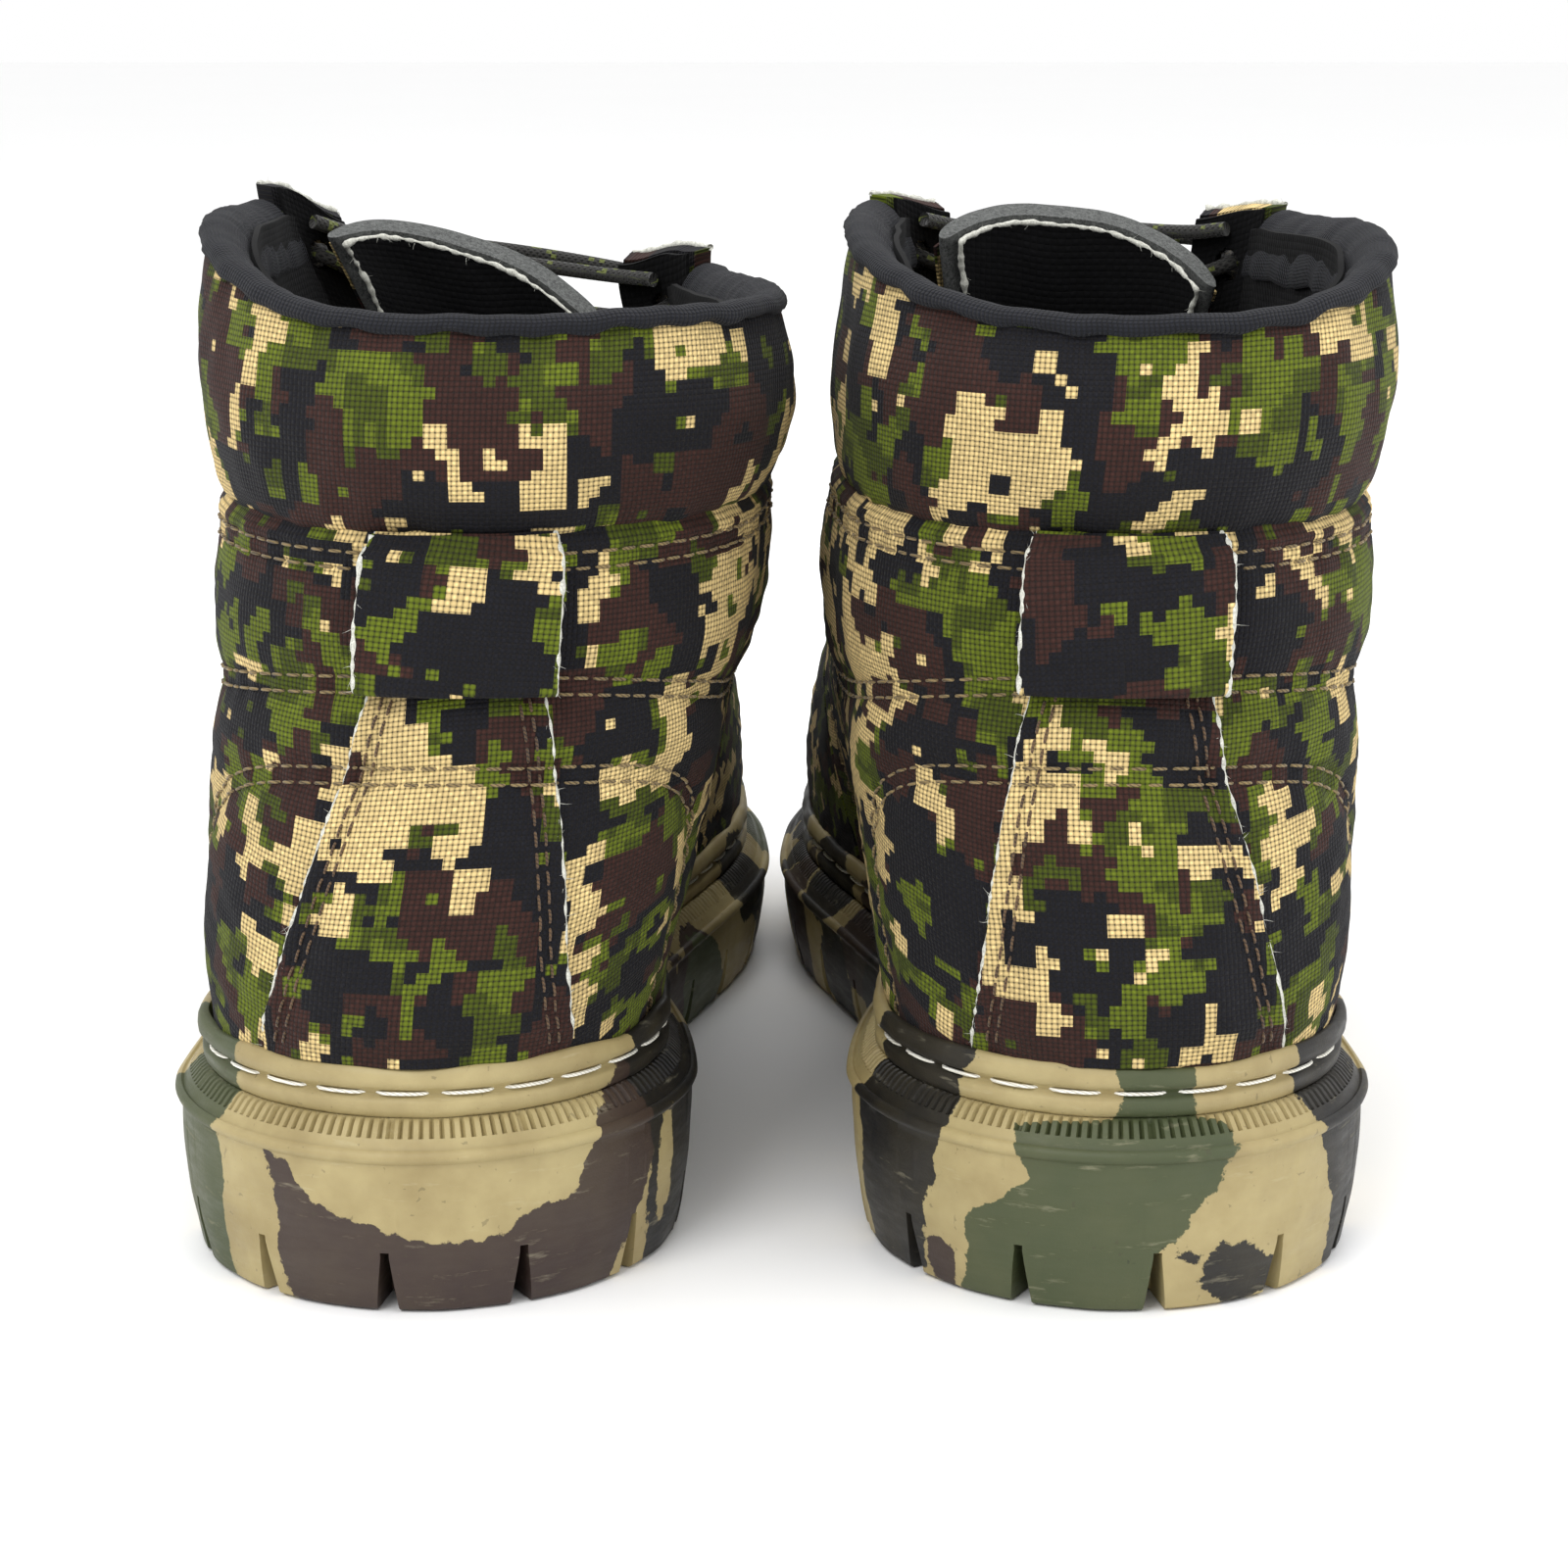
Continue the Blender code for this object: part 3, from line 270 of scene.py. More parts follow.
# ---- Making meshes ---------------------------------------------------------------------------------
class Boot:
    def __init__(self, name):
        self.name = name
        self.mirrored = name == "right"
        self.seed = 11 if self.mirrored else 3
        self.root = f"{name}_boot"

    def place(self, points):
        """Points of the boot's own frame in the row frame."""
        points = np.array(points, float)
        points[..., 0] = BOOT_CENTRE_X - points[..., 0] if self.mirrored else points[..., 0] - BOOT_CENTRE_X
        points[..., 1] -= SOLE_LENGTH / 2
        return points

    def piece(self, name, points, faces, material, slot, body=None, replaces=(), attributes=None, sharp=None):
        """A mesh piece from points in the boot's own frame, riding on its body."""
        points = np.asarray(points, float).reshape(-1, 3)
        faces = [np.asarray(f) for f in faces if len(f)]
        if self.mirrored:
            faces = [f[:, ::-1] for f in faces]
        used = np.unique(np.concatenate([f.ravel() for f in faces]))
        renumber = np.full(len(points), -1)
        renumber[used] = np.arange(len(used))
        mesh = bpy.data.meshes.new(f"{self.name}_{name}")
        mesh.vertices.add(len(used))
        mesh.vertices.foreach_set("co", self.place(points[used]).astype(np.float32).ravel())
        loops = np.concatenate([renumber[f].ravel() for f in faces])
        sizes = np.concatenate([np.full(len(f), f.shape[1]) for f in faces])
        mesh.loops.add(len(loops))
        mesh.loops.foreach_set("vertex_index", loops.astype(np.int32))
        mesh.polygons.add(len(sizes))
        mesh.polygons.foreach_set("loop_start", np.concatenate([[0], np.cumsum(sizes)[:-1]]).astype(np.int32))
        mesh.update(calc_edges=True)
        for key, values in (attributes or {}).items():
            values = np.asarray(values, float).reshape(len(points), -1)[used]
            kind = "FLOAT_VECTOR" if values.shape[1] == 3 else "FLOAT"
            field = "vector" if values.shape[1] == 3 else "value"
            mesh.attributes.new(key, kind, "POINT").data.foreach_set(field, values.astype(np.float32).ravel())
        mesh.shade_smooth()
        if sharp:
            mesh.set_sharp_from_angle(angle=math.radians(sharp))
        mesh.materials.append(material)
        item = bpy.data.objects.new(f"{self.name}_{name}", mesh)
        bpy.context.scene.collection.objects.link(item)
        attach(item, body or self.root)
        if replaces:
            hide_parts(*(f"{self.name}_{node}" for node in replaces))
        return item


def grid_faces(rows, columns, keep=None, ring=False, start=0):
    """Quads of a grid, as an array; ring joins the last column to the first."""
    index = start + np.arange(rows * columns).reshape(rows, columns)
    if ring:
        index = np.concatenate([index, index[:, :1]], axis=1)
    quads = np.stack([index[:-1, :-1], index[:-1, 1:], index[1:, 1:], index[1:, :-1]], -1)
    return (quads.reshape(-1, 4) if keep is None else quads[keep]).reshape(-1, 4)


def closed_sheet(outer, inner, keep=None, ring=False):
    """Points and faces of a sheet with thickness, from the grids of its two sides."""
    rows, columns = outer.shape[:2]
    quads = grid_faces(rows, columns, keep, ring)
    count = rows * columns
    edges = quads[:, [[0, 1], [1, 2], [2, 3], [3, 0]]].reshape(-1, 2)
    key = np.sort(edges, axis=1)
    _, index, uses = np.unique(key, axis=0, return_inverse=True, return_counts=True)
    rim = edges[uses[index.ravel()] == 1]
    rim = np.stack([rim[:, 1], rim[:, 0], rim[:, 0] + count, rim[:, 1] + count], -1)
    points = np.concatenate([outer.reshape(-1, 3), inner.reshape(-1, 3)])
    return points, [np.concatenate([quads, quads[:, ::-1] + count, rim])]


def twice(values):
    """An attribute of a sheet's outer side, repeated for its inner side."""
    values = np.asarray(values, float)
    return np.concatenate([values.reshape(-1, values.shape[-1])] * 2)


def running_length(points, axis):
    """Distance travelled along one axis of a grid of points."""
    steps = np.linalg.norm(np.diff(points, axis=axis), axis=-1)
    pad = [(0, 0), (0, 0)]
    pad[axis] = (1, 0)
    return np.pad(np.cumsum(steps, axis=axis), pad)


def cloth_map(points, seed, origin=0, from_top=False, turn=0.0):
    """Metric cloth coordinates of a grid of points, in mm: across, along, and the pattern's seed."""
    across = running_length(points, 1)
    across = across - across[:, origin : origin + 1]
    along = running_length(points, 0)
    if from_top:
        along = along - along[-1:, :]
    u, v = across / MM, along / MM
    u, v = u * math.cos(turn) - v * math.sin(turn), u * math.sin(turn) + v * math.cos(turn)
    return np.stack([u, v, np.full_like(u, seed)], -1)


def tube_mesh(paths, normals, radii, sides):
    """Points and faces of tubes along many paths (count, steps, 3), closed at both ends."""
    count, steps = paths.shape[:2]
    tangent = unit(np.gradient(paths, axis=1))
    side = unit(np.cross(tangent, normals))
    up = np.cross(side, tangent)
    turn = np.arange(sides) * 2 * math.pi / sides
    ring = side[:, :, None] * np.cos(turn)[:, None] + up[:, :, None] * np.sin(turn)[:, None]
    radii = np.broadcast_to(radii, (count, steps))
    points = paths[:, :, None] + ring * radii[:, :, None, None]
    base = grid_faces(steps, sides, ring=True)
    shifts = np.arange(count) * steps * sides
    quads = (base[None] + shifts[:, None, None]).reshape(-1, 4)
    first = np.arange(sides)
    caps = np.stack([first, first[::-1] + (steps - 1) * sides])
    caps = (caps[None] + shifts[:, None, None]).reshape(-1, sides)
    return points.reshape(-1, 3), [quads, caps]


def joined(parts):
    """Several (points, faces) made one."""
    points, faces, start = [], [], 0
    for some, groups in parts:
        points.append(some)
        faces += [group + start for group in groups]
        start += len(some)
    return np.concatenate(points), faces


# ---- Materials -------------------------------------------------------------------------------------
def srgb(red, green, blue):
    """A linear colour from display values 0 to 255."""
    channels = np.array([red, green, blue]) / 255
    linear = np.where(channels <= 0.04045, channels / 12.92, ((channels + 0.055) / 1.055) ** 2.4)
    return (*linear.tolist(), 1.0)


class Graph:
    """A short way to write a shader's nodes."""

    def __init__(self, name, roughness=0.8, **sockets):
        self.material = bpy.data.materials.new(name)
        self.material.use_nodes = True
        self.tree = self.material.node_tree
        self.shader = self.tree.nodes["Principled BSDF"]
        self.shader.inputs["Roughness"].default_value = roughness
        for key, value in sockets.items():
            self.shader.inputs[key.replace("_", " ")].default_value = value

    def node(self, kind, inputs=None, **settings):
        made = self.tree.nodes.new(kind)
        for key, value in settings.items():
            setattr(made, key, value)
        for key, value in (inputs or {}).items():
            self.feed(made.inputs[key], value)
        return made

    def feed(self, socket, value):
        if isinstance(value, bpy.types.NodeSocket):
            self.tree.links.new(value, socket)
        else:
            socket.default_value = value

    def math(self, operation, *values, clamp=False):
        made = self.node("ShaderNodeMath", operation=operation, use_clamp=clamp)
        for socket, value in zip(made.inputs, values):
            self.feed(socket, value)
        return made.outputs[0]

    def attribute(self, name):
        return self.node("ShaderNodeAttribute", attribute_name=name)

    def vector(self, operation, *values):
        made = self.node("ShaderNodeVectorMath", operation=operation)
        for socket, value in zip(made.inputs, values):
            self.feed(socket, value)
        return made.outputs[0]

    def split(self, vector):
        return self.node("ShaderNodeSeparateXYZ", {"Vector": vector}).outputs

    def join(self, x, y, z=0.0):
        return self.node("ShaderNodeCombineXYZ", {"X": x, "Y": y, "Z": z}).outputs[0]

    def noise(self, vector, scale, detail=2.0, roughness=0.5):
        inputs = {"Vector": vector, "Scale": scale, "Detail": detail, "Roughness": roughness}
        return self.node("ShaderNodeTexNoise", inputs).outputs["Fac"]

    def voronoi(self, vector, scale, output="Distance"):
        return self.node("ShaderNodeTexVoronoi", {"Vector": vector, "Scale": scale}).outputs[output]

    def random(self, vector):
        return self.node("ShaderNodeTexWhiteNoise", {"Vector": vector}).outputs["Value"]

    def above(self, value, threshold, softness=0.0):
        """0 below the threshold and 1 above it."""
        if softness == 0.0:
            return self.math("GREATER_THAN", value, threshold)
        spread = self.math("SUBTRACT", value, threshold - softness / 2)
        return self.math("DIVIDE", spread, softness, clamp=True)

    def span(self, value, low, high, to_low, to_high):
        inputs = {"Value": value, "From Min": low, "From Max": high, "To Min": to_low, "To Max": to_high}
        return self.node("ShaderNodeMapRange", inputs).outputs[0]

    def mix(self, share, first, second, blend="MIX"):
        made = self.node("ShaderNodeMix", data_type="RGBA", blend_type=blend)
        self.feed(made.inputs[0], share)
        self.feed(made.inputs[6], first)
        self.feed(made.inputs[7], second)
        return made.outputs[2]

    def bump(self, height, distance, strength=1.0, after=None):
        made = self.node("ShaderNodeBump", {"Height": height, "Distance": distance, "Strength": strength})
        if after is not None:
            self.feed(made.inputs["Normal"], after)
        return made.outputs[0]

    def finish(self, colour, roughness=None, normal=None):
        self.feed(self.shader.inputs["Base Color"], colour)
        if roughness is not None:
            self.feed(self.shader.inputs["Roughness"], roughness)
        if normal is not None:
            self.feed(self.shader.inputs["Normal"], normal)
        return self.material

    def place_mm(self):
        """Object coordinates in millimetres."""
        position = self.node("ShaderNodeTexCoord").outputs["Object"]
        return self.vector("MULTIPLY", position, (1000.0, 1000.0, 1000.0))


CLOTH = "cloth"  # the attribute that holds a sheet's metric coordinates
SOLID = "solid"  # and the one that holds its place in the boot, in mm
CAMO_CELL = 1.75  # mm
WEAVE_PITCH = 0.82  # mm


def weave(graph, across, along, pitch):
    """Height of a plain weave, 0 in the gaps between threads and 1 on their crowns, and its gaps."""
    u = graph.math("MULTIPLY", across, math.pi / pitch)
    v = graph.math("MULTIPLY", along, math.pi / pitch)
    weft = graph.math("ABSOLUTE", graph.math("SINE", u))
    warp = graph.math("ABSOLUTE", graph.math("SINE", v))
    turn = graph.math("SINE", graph.math("MULTIPLY", u, 1.0))
    over = graph.math("MULTIPLY", turn, graph.math("SINE", v))
    crown = graph.math("MULTIPLY", weft, warp)
    crown = graph.math("POWER", crown, 0.6)
    tilt = graph.math("MULTIPLY", over, 0.22)
    height = graph.math("ADD", graph.math("MULTIPLY", crown, 0.78), tilt)
    open_u = graph.math("POWER", graph.math("SUBTRACT", 1.0, weft), 1.2)
    open_v = graph.math("POWER", graph.math("SUBTRACT", 1.0, warp), 1.2)
    gap = graph.math("MULTIPLY", open_u, open_v)
    return height, gap


def camo_canvas(name, solid=False):
    """Printed digital camouflage on a coarse foam-backed weave: stepped blobs in five colours.

    On a sheet that curves both ways the steps come from a solid grid, so that they don't stretch.
    """
    graph = Graph(name, roughness=0.82, Specular_IOR_Level=0.2)
    graph.shader.inputs["Sheen Weight"].default_value = 0.03
    graph.shader.inputs["Sheen Roughness"].default_value = 0.5
    place = graph.attribute(CLOTH).outputs["Vector"]
    u, v, seed = graph.split(place)
    # the print isn't quite in line with the threads
    drift = graph.math("MULTIPLY", v, 0.035)
    cell_u = graph.math("FLOOR", graph.math("DIVIDE", graph.math("ADD", u, drift), CAMO_CELL))
    cell_v = graph.math("FLOOR", graph.math("DIVIDE", v, CAMO_CELL))
    layers = {}
    for key, shift, scale, detail, stretch in (
        ("brown", 17.3, 0.110, 1.6, 0.90),
        ("green", 41.9, 0.125, 2.0, 0.80),
        ("tan", 77.1, 0.105, 1.8, 0.72),
        ("moss", 103.7, 0.20, 1.0, 1.0),
        ("chips", 151.3, 0.36, 0.0, 1.0),
    ):
        layer = graph.math("ADD", graph.math("MULTIPLY", seed, 23.7), shift)
        grid = graph.join(cell_u, graph.math("MULTIPLY", cell_v, stretch), layer)
        if solid:
            cells = graph.attribute(SOLID).outputs["Vector"]
            cells = graph.vector("FLOOR", graph.vector("MULTIPLY", cells, (1 / CAMO_CELL,) * 3))
            grid = graph.vector("ADD", cells, graph.join(layer, layer, layer))
        layers[key] = graph.noise(grid, scale, detail, 0.62)
    chips = graph.math("MULTIPLY", graph.math("SUBTRACT", layers["chips"], 0.5), 0.34)
    navy, brown = srgb(17, 17, 23), srgb(54, 31, 26)
    green, moss = srgb(90, 102, 22), srgb(64, 74, 13)
    tan = srgb(216, 190, 132)
    colour = graph.mix(graph.above(layers["brown"], 0.525), navy, brown)
    leaf = graph.mix(graph.above(layers["moss"], 0.52), green, moss)
    shown = graph.above(graph.math("ADD", layers["green"], chips), 0.530)
    colour = graph.mix(shown, colour, leaf)
    shown = graph.above(graph.math("ADD", layers["tan"], chips), 0.582)
    colour = graph.mix(shown, colour, tan)
    height, gap = weave(graph, u, v, WEAVE_PITCH)
    thread = graph.join(
        graph.math("FLOOR", graph.math("DIVIDE", u, WEAVE_PITCH)),
        graph.math("FLOOR", graph.math("DIVIDE", v, WEAVE_PITCH)),
        seed,
    )
    uneven = graph.span(graph.random(thread), 0.0, 1.0, 0.84, 1.12)
    faded = graph.span(graph.noise(place, 0.09, 3.0), 0.3, 0.7, 0.88, 1.14)
    colour = graph.mix(1.0, colour, graph.join(uneven, uneven, uneven), "MULTIPLY")
    colour = graph.mix(1.0, colour, graph.join(faded, faded, faded), "MULTIPLY")
    # painted highlight and shade: the colour is lightened on the thread crowns and darkened down their sides, following
    # the weave's height
    crown = graph.span(height, 0.2, 1.0, 0.72, 1.22)
    colour = graph.mix(1.0, colour, graph.join(crown, crown, crown), "MULTIPLY")
    # painted shade: the gaps between the threads are darkened towards a near-black brown
    colour = graph.mix(graph.math("MULTIPLY", gap, 1.35, clamp=True), colour, srgb(24, 20, 18))
    fuzz = graph.noise(place, 3.2, 2.0)
    height = graph.math("ADD", height, graph.math("MULTIPLY", fuzz, 0.25))
    rough = graph.span(fuzz, 0.3, 0.7, 0.72, 0.92)
    return graph.finish(colour, rough, graph.bump(height, 0.00032, 0.9))


def painted_rubber(name):
    """Tan moulded rubber with sprayed brown, green and black patches, scuffed and finely pitted."""
    graph = Graph(name, roughness=0.55, Specular_IOR_Level=0.45)
    paint = graph.split(graph.attribute("paint").outputs["Vector"])
    place = graph.place_mm()
    rag = graph.math("MULTIPLY", graph.math("SUBTRACT", graph.noise(place, 0.55, 4.0, 0.65), 0.5), 3.2)
    cloud = graph.noise(place, 0.06, 4.0, 0.6)
    tan = graph.mix(graph.span(cloud, 0.35, 0.68, 0.0, 1.0), srgb(146, 130, 88), srgb(170, 155, 110))
    colour = tan
    patches = (srgb(50, 36, 32), srgb(62, 70, 42), srgb(9, 9, 12))
    for field, patch in zip(paint, patches):
        edge = graph.above(graph.math("ADD", field, rag), 0.0, 0.25)
        shade = graph.mix(graph.span(cloud, 0.3, 0.7, 0.0, 0.22), patch, tan)
        shade = graph.mix(0.75, shade, patch)
        colour = graph.mix(edge, colour, shade)
    scuffs = graph.noise(graph.vector("MULTIPLY", place, (0.25, 0.25, 1.6)), 0.35, 5.0, 0.7)
    dust = graph.math("MULTIPLY", graph.above(scuffs, 0.66, 0.12), 0.22)
    colour = graph.mix(dust, colour, srgb(196, 188, 160))
    specks = graph.above(graph.voronoi(place, 0.9), 0.93, 0.05)
    colour = graph.mix(graph.math("MULTIPLY", specks, 0.35), colour, srgb(60, 54, 38))
    pits = graph.noise(place, 2.6, 3.0, 0.6)
    swell = graph.noise(place, 0.16, 3.0)
    height = graph.math("ADD", graph.math("MULTIPLY", pits, 0.35), graph.math("MULTIPLY", swell, 1.2))
    rough = graph.span(scuffs, 0.3, 0.7, 0.44, 0.68)
    return graph.finish(colour, rough, graph.bump(height, 0.00022, 0.6))


def textile(name, base, light, pitch, roughness=0.92, depth=0.00018, sheen=0.1, lift=0.8):
    """A plain-coloured woven or knitted textile with its own thread pitch."""
    graph = Graph(name, roughness=roughness, Specular_IOR_Level=0.25)
    graph.shader.inputs["Sheen Weight"].default_value = sheen
    place = graph.attribute(CLOTH).outputs["Vector"]
    u, v, _ = graph.split(place)
    height, gap = weave(graph, u, v, pitch)
    tone = graph.noise(place, 0.25, 4.0, 0.6)
    # painted highlight: the thread crowns take the lighter colour, mixed with random tone from noise
    share = graph.math("MULTIPLY", graph.math("ADD", height, graph.math("SUBTRACT", tone, 0.5)), lift, clamp=True)
    colour = graph.mix(share, base, light)
    # painted shade: near-black in the gaps between the threads
    colour = graph.mix(gap, colour, srgb(8, 8, 9))
    return graph.finish(colour, None, graph.bump(height, depth, 0.9))


def knit(name):
    """Ribbed knit tape: ribs across the edge, with a fine stitch along them."""
    graph = Graph(name, roughness=0.9, Specular_IOR_Level=0.3)
    graph.shader.inputs["Sheen Weight"].default_value = 0.04
    place = graph.attribute(CLOTH).outputs["Vector"]
    u, v, _ = graph.split(place)
    slant = graph.math("ADD", u, graph.math("MULTIPLY", graph.math("ABSOLUTE", graph.math("SINE", v)), 0.25))
    rib = graph.math("ABSOLUTE", graph.math("SINE", graph.math("MULTIPLY", slant, math.pi / 0.75)))
    loop = graph.math("ABSOLUTE", graph.math("SINE", graph.math("MULTIPLY", v, math.pi / 0.6)))
    height = graph.math("MULTIPLY", graph.math("POWER", rib, 0.6), graph.math("ADD", loop, 0.8))
    # painted highlight: the rib crowns take the lighter colour, with random tone from noise
    tone = graph.math("ADD", height, graph.math("SUBTRACT", graph.noise(place, 0.3, 3.0), 0.5))
    colour = graph.mix(graph.math("MULTIPLY", tone, 0.5, clamp=True), srgb(4, 4, 7), srgb(26, 28, 36))
    return graph.finish(colour, None, graph.bump(height, 0.00020, 0.9))


def fibrous(name, dark, light, scale=0.8, roughness=0.95, depth=0.0003, sheen=0.2):
    """Felt, raw foam and cut textile: matted fibres with no weave."""
    graph = Graph(name, roughness=roughness, Specular_IOR_Level=0.2)
    graph.shader.inputs["Sheen Weight"].default_value = sheen
    place = graph.place_mm()
    tuft = graph.noise(place, scale, 5.0, 0.72)
    strands = graph.noise(graph.vector("MULTIPLY", place, (1.0, 2.4, 0.7)), scale * 2.2, 4.0, 0.7)
    both = graph.math("MULTIPLY", graph.math("ADD", tuft, strands), 0.5)
    colour = graph.mix(graph.span(both, 0.36, 0.64, 0.0, 1.0), dark, light)
    return graph.finish(colour, None, graph.bump(both, depth, 0.9))


def thread(name, dark, light, twist=1.1):
    """Twisted sewing thread."""
    graph = Graph(name, roughness=0.7, Specular_IOR_Level=0.4)
    graph.shader.inputs["Sheen Weight"].default_value = 0.2
    place = graph.place_mm()
    x, y, z = graph.split(place)
    run = graph.math("ADD", graph.math("ADD", x, y), graph.math("MULTIPLY", z, 1.7))
    ply = graph.math("ABSOLUTE", graph.math("SINE", graph.math("MULTIPLY", run, math.pi / twist)))
    # painted highlight and shade along the twist: each ply lighter on its crown and darker between plies, with random
    # tone from noise
    tone = graph.math("ADD", graph.math("MULTIPLY", ply, 0.6), graph.noise(place, 0.21, 3.0))
    colour = graph.mix(graph.span(tone, 0.4, 1.1, 0.0, 1.0), dark, light)
    return graph.finish(colour, None, graph.bump(ply, 0.00010, 0.8))


def braid(name):
    """Round braided lace: diagonal strands both ways."""
    graph = Graph(name, roughness=0.75, Specular_IOR_Level=0.35)
    graph.shader.inputs["Sheen Weight"].default_value = 0.15
    u, v, _ = graph.split(graph.attribute(CLOTH).outputs["Vector"])
    around = graph.math("MULTIPLY", v, 2.0)
    one = graph.math("SINE", graph.math("ADD", graph.math("MULTIPLY", u, 2.6), graph.math("MULTIPLY", around, 2.0)))
    two = graph.math("SINE", graph.math("SUBTRACT", graph.math("MULTIPLY", u, 2.6), graph.math("MULTIPLY", around, 2.0)))
    height = graph.math("MAXIMUM", graph.math("ABSOLUTE", one), graph.math("ABSOLUTE", two))
    flecks = graph.random(graph.join(graph.math("FLOOR", u), graph.math("FLOOR", graph.math("MULTIPLY", around, 0.8))))
    # painted highlight: the strand crowns take the lighter colour; the green flecks below are the lace's own colour
    colour = graph.mix(graph.math("POWER", height, 3.0), srgb(10, 10, 11), srgb(42, 41, 38))
    colour = graph.mix(graph.math("MULTIPLY", graph.above(flecks, 0.86), 0.8), colour, srgb(96, 104, 44))
    return graph.finish(colour, None, graph.bump(height, 0.00025, 0.9))


def metal(name, base, worn, roughness):
    """Coated metal, its coat worn through on the raised places."""
    graph = Graph(name, roughness=roughness, Metallic=1.0)
    place = graph.place_mm()
    tone = graph.noise(place, 1.1, 4.0, 0.65)
    colour = graph.mix(graph.above(tone, 0.58, 0.12), base, worn)
    rough = graph.span(tone, 0.3, 0.7, roughness - 0.08, roughness + 0.2)
    return graph.finish(colour, rough, graph.bump(tone, 0.00008, 0.5))


def board(name):
    """Pressed fibre board for the insole."""
    graph = Graph(name, roughness=0.9)
    place = graph.place_mm()
    fibre = graph.noise(graph.vector("MULTIPLY", place, (2.4, 0.5, 1.0)), 0.6, 5.0, 0.7)
    colour = graph.mix(graph.span(fibre, 0.35, 0.65, 0.0, 1.0), srgb(126, 98, 64), srgb(186, 158, 116))
    return graph.finish(colour, None, graph.bump(fibre, 0.0002, 0.7))


MATERIALS = {
    "canvas": camo_canvas("camo_canvas"),
    "vamp_canvas": camo_canvas("camo_canvas_vamp", solid=True),
    "rubber": painted_rubber("painted_rubber"),
    # the linings' near-black is partly the textile's own black and partly painted shade for the inside of the boot
    "lining": textile("lining_textile", srgb(3, 3, 4), srgb(11, 11, 14), 1.3, sheen=0.0),
    "tongue_lining": textile("tongue_lining", srgb(3, 3, 4), srgb(11, 11, 14), 1.3, sheen=0.0),
    "binding": knit("knit_binding"),
    "felt": fibrous("grey_felt", srgb(34, 35, 36), srgb(118, 120, 118), 1.5, sheen=0.05),
    "raw": fibrous("raw_cut_edge", srgb(150, 150, 140), srgb(232, 232, 222), 1.4, depth=0.00025),
    "footbed": fibrous("footbed_felt", srgb(16, 16, 18), srgb(46, 47, 50), 0.7),
    "wadding": fibrous("insulation_felt", srgb(168, 168, 162), srgb(226, 226, 220), 0.35),
    "foam": fibrous("midsole_foam", srgb(190, 188, 178), srgb(226, 224, 214), 1.6, depth=0.0001),
    "stiffener": fibrous("stiffener", srgb(170, 166, 150), srgb(205, 201, 186), 0.5, 0.75, 0.0001),
    "board": board("insole_board"),
    "steel": metal("shank_steel", srgb(150, 152, 155), srgb(196, 198, 200), 0.35),
    "eyelet": metal("blackened_metal", srgb(34, 33, 32), srgb(120, 112, 96), 0.38),
    "welt_thread": thread("welt_thread", srgb(196, 192, 176), srgb(250, 248, 238)),
    "seam_thread": thread("seam_thread", srgb(44, 34, 22), srgb(132, 112, 72)),
    "stay_thread": thread("stay_thread", srgb(30, 20, 14), srgb(96, 72, 46)),
    "lace": braid("braided_lace"),
}
CAD_FINISHES = {
    "midsole_foam": "foam",
    "shank": "steel",
    "insole_board": "board",
    "toe_puff": "stiffener",
    "heel_counter": "stiffener",
    "insulation": "wadding",
}


# ---- Seams -----------------------------------------------------------------------------------------
ROW_OFFSET = 1.25 * MM  # of the two rows of a double seam from its centre line


class Seam:
    """A line on the boot's surface, given by ring heights and angles, that is pinched and stitched."""

    def __init__(self, boot, t, angle, pinch=0.9 * MM, reach=3.4 * MM, rows=(-ROW_OFFSET, ROW_OFFSET)):
        points = surface(boot.name, t, angle)
        run = np.concatenate([[0.0], np.cumsum(np.linalg.norm(np.diff(points, axis=0), axis=1))])
        even = np.linspace(0.0, run[-1], int(run[-1] / (0.5 * MM)) + 2)
        self.t, self.angle = np.interp(even, run, t), np.interp(even, run, angle)
        self.points = surface(boot.name, self.t, self.angle)
        self.run, self.pinch, self.reach, self.rows = even, pinch, reach, rows
        self.tree = KDTree(len(even))
        for k, point in enumerate(self.points):
            self.tree.insert(point, k)
        self.tree.balance()

    def nearest(self, points):
        """Distance from each point to the line, and how far along it that is."""
        flat = points.reshape(-1, 3)
        found = [self.tree.find(p)[1:] for p in flat]
        index = np.array([k for k, _ in found])
        distance = np.array([d for _, d in found])
        return distance.reshape(points.shape[:-1]), self.run[index].reshape(points.shape[:-1])

    def relief(self, points):
        """How far the cloth is drawn in near the seam, and how free of it the cloth is, 0 to 1."""
        distance, along = self.nearest(points)
        drawn = -self.pinch * np.exp(-((distance / self.reach) ** 2))
        for offset in {abs(o) for o in self.rows}:
            drawn = drawn - 0.28 * MM * np.exp(-(((distance - offset) / (0.45 * MM)) ** 2))
        pucker = np.sin(2 * math.pi * along / (STITCH_PITCH * 2) + 3 * np.sin(along / (11 * MM)))
        drawn = drawn + 0.20 * MM * pucker * np.exp(-((distance / (4 * MM)) ** 2))
        return drawn, 1 - np.exp(-((distance / (9 * MM)) ** 2))


STITCH_PITCH = 3.3 * MM


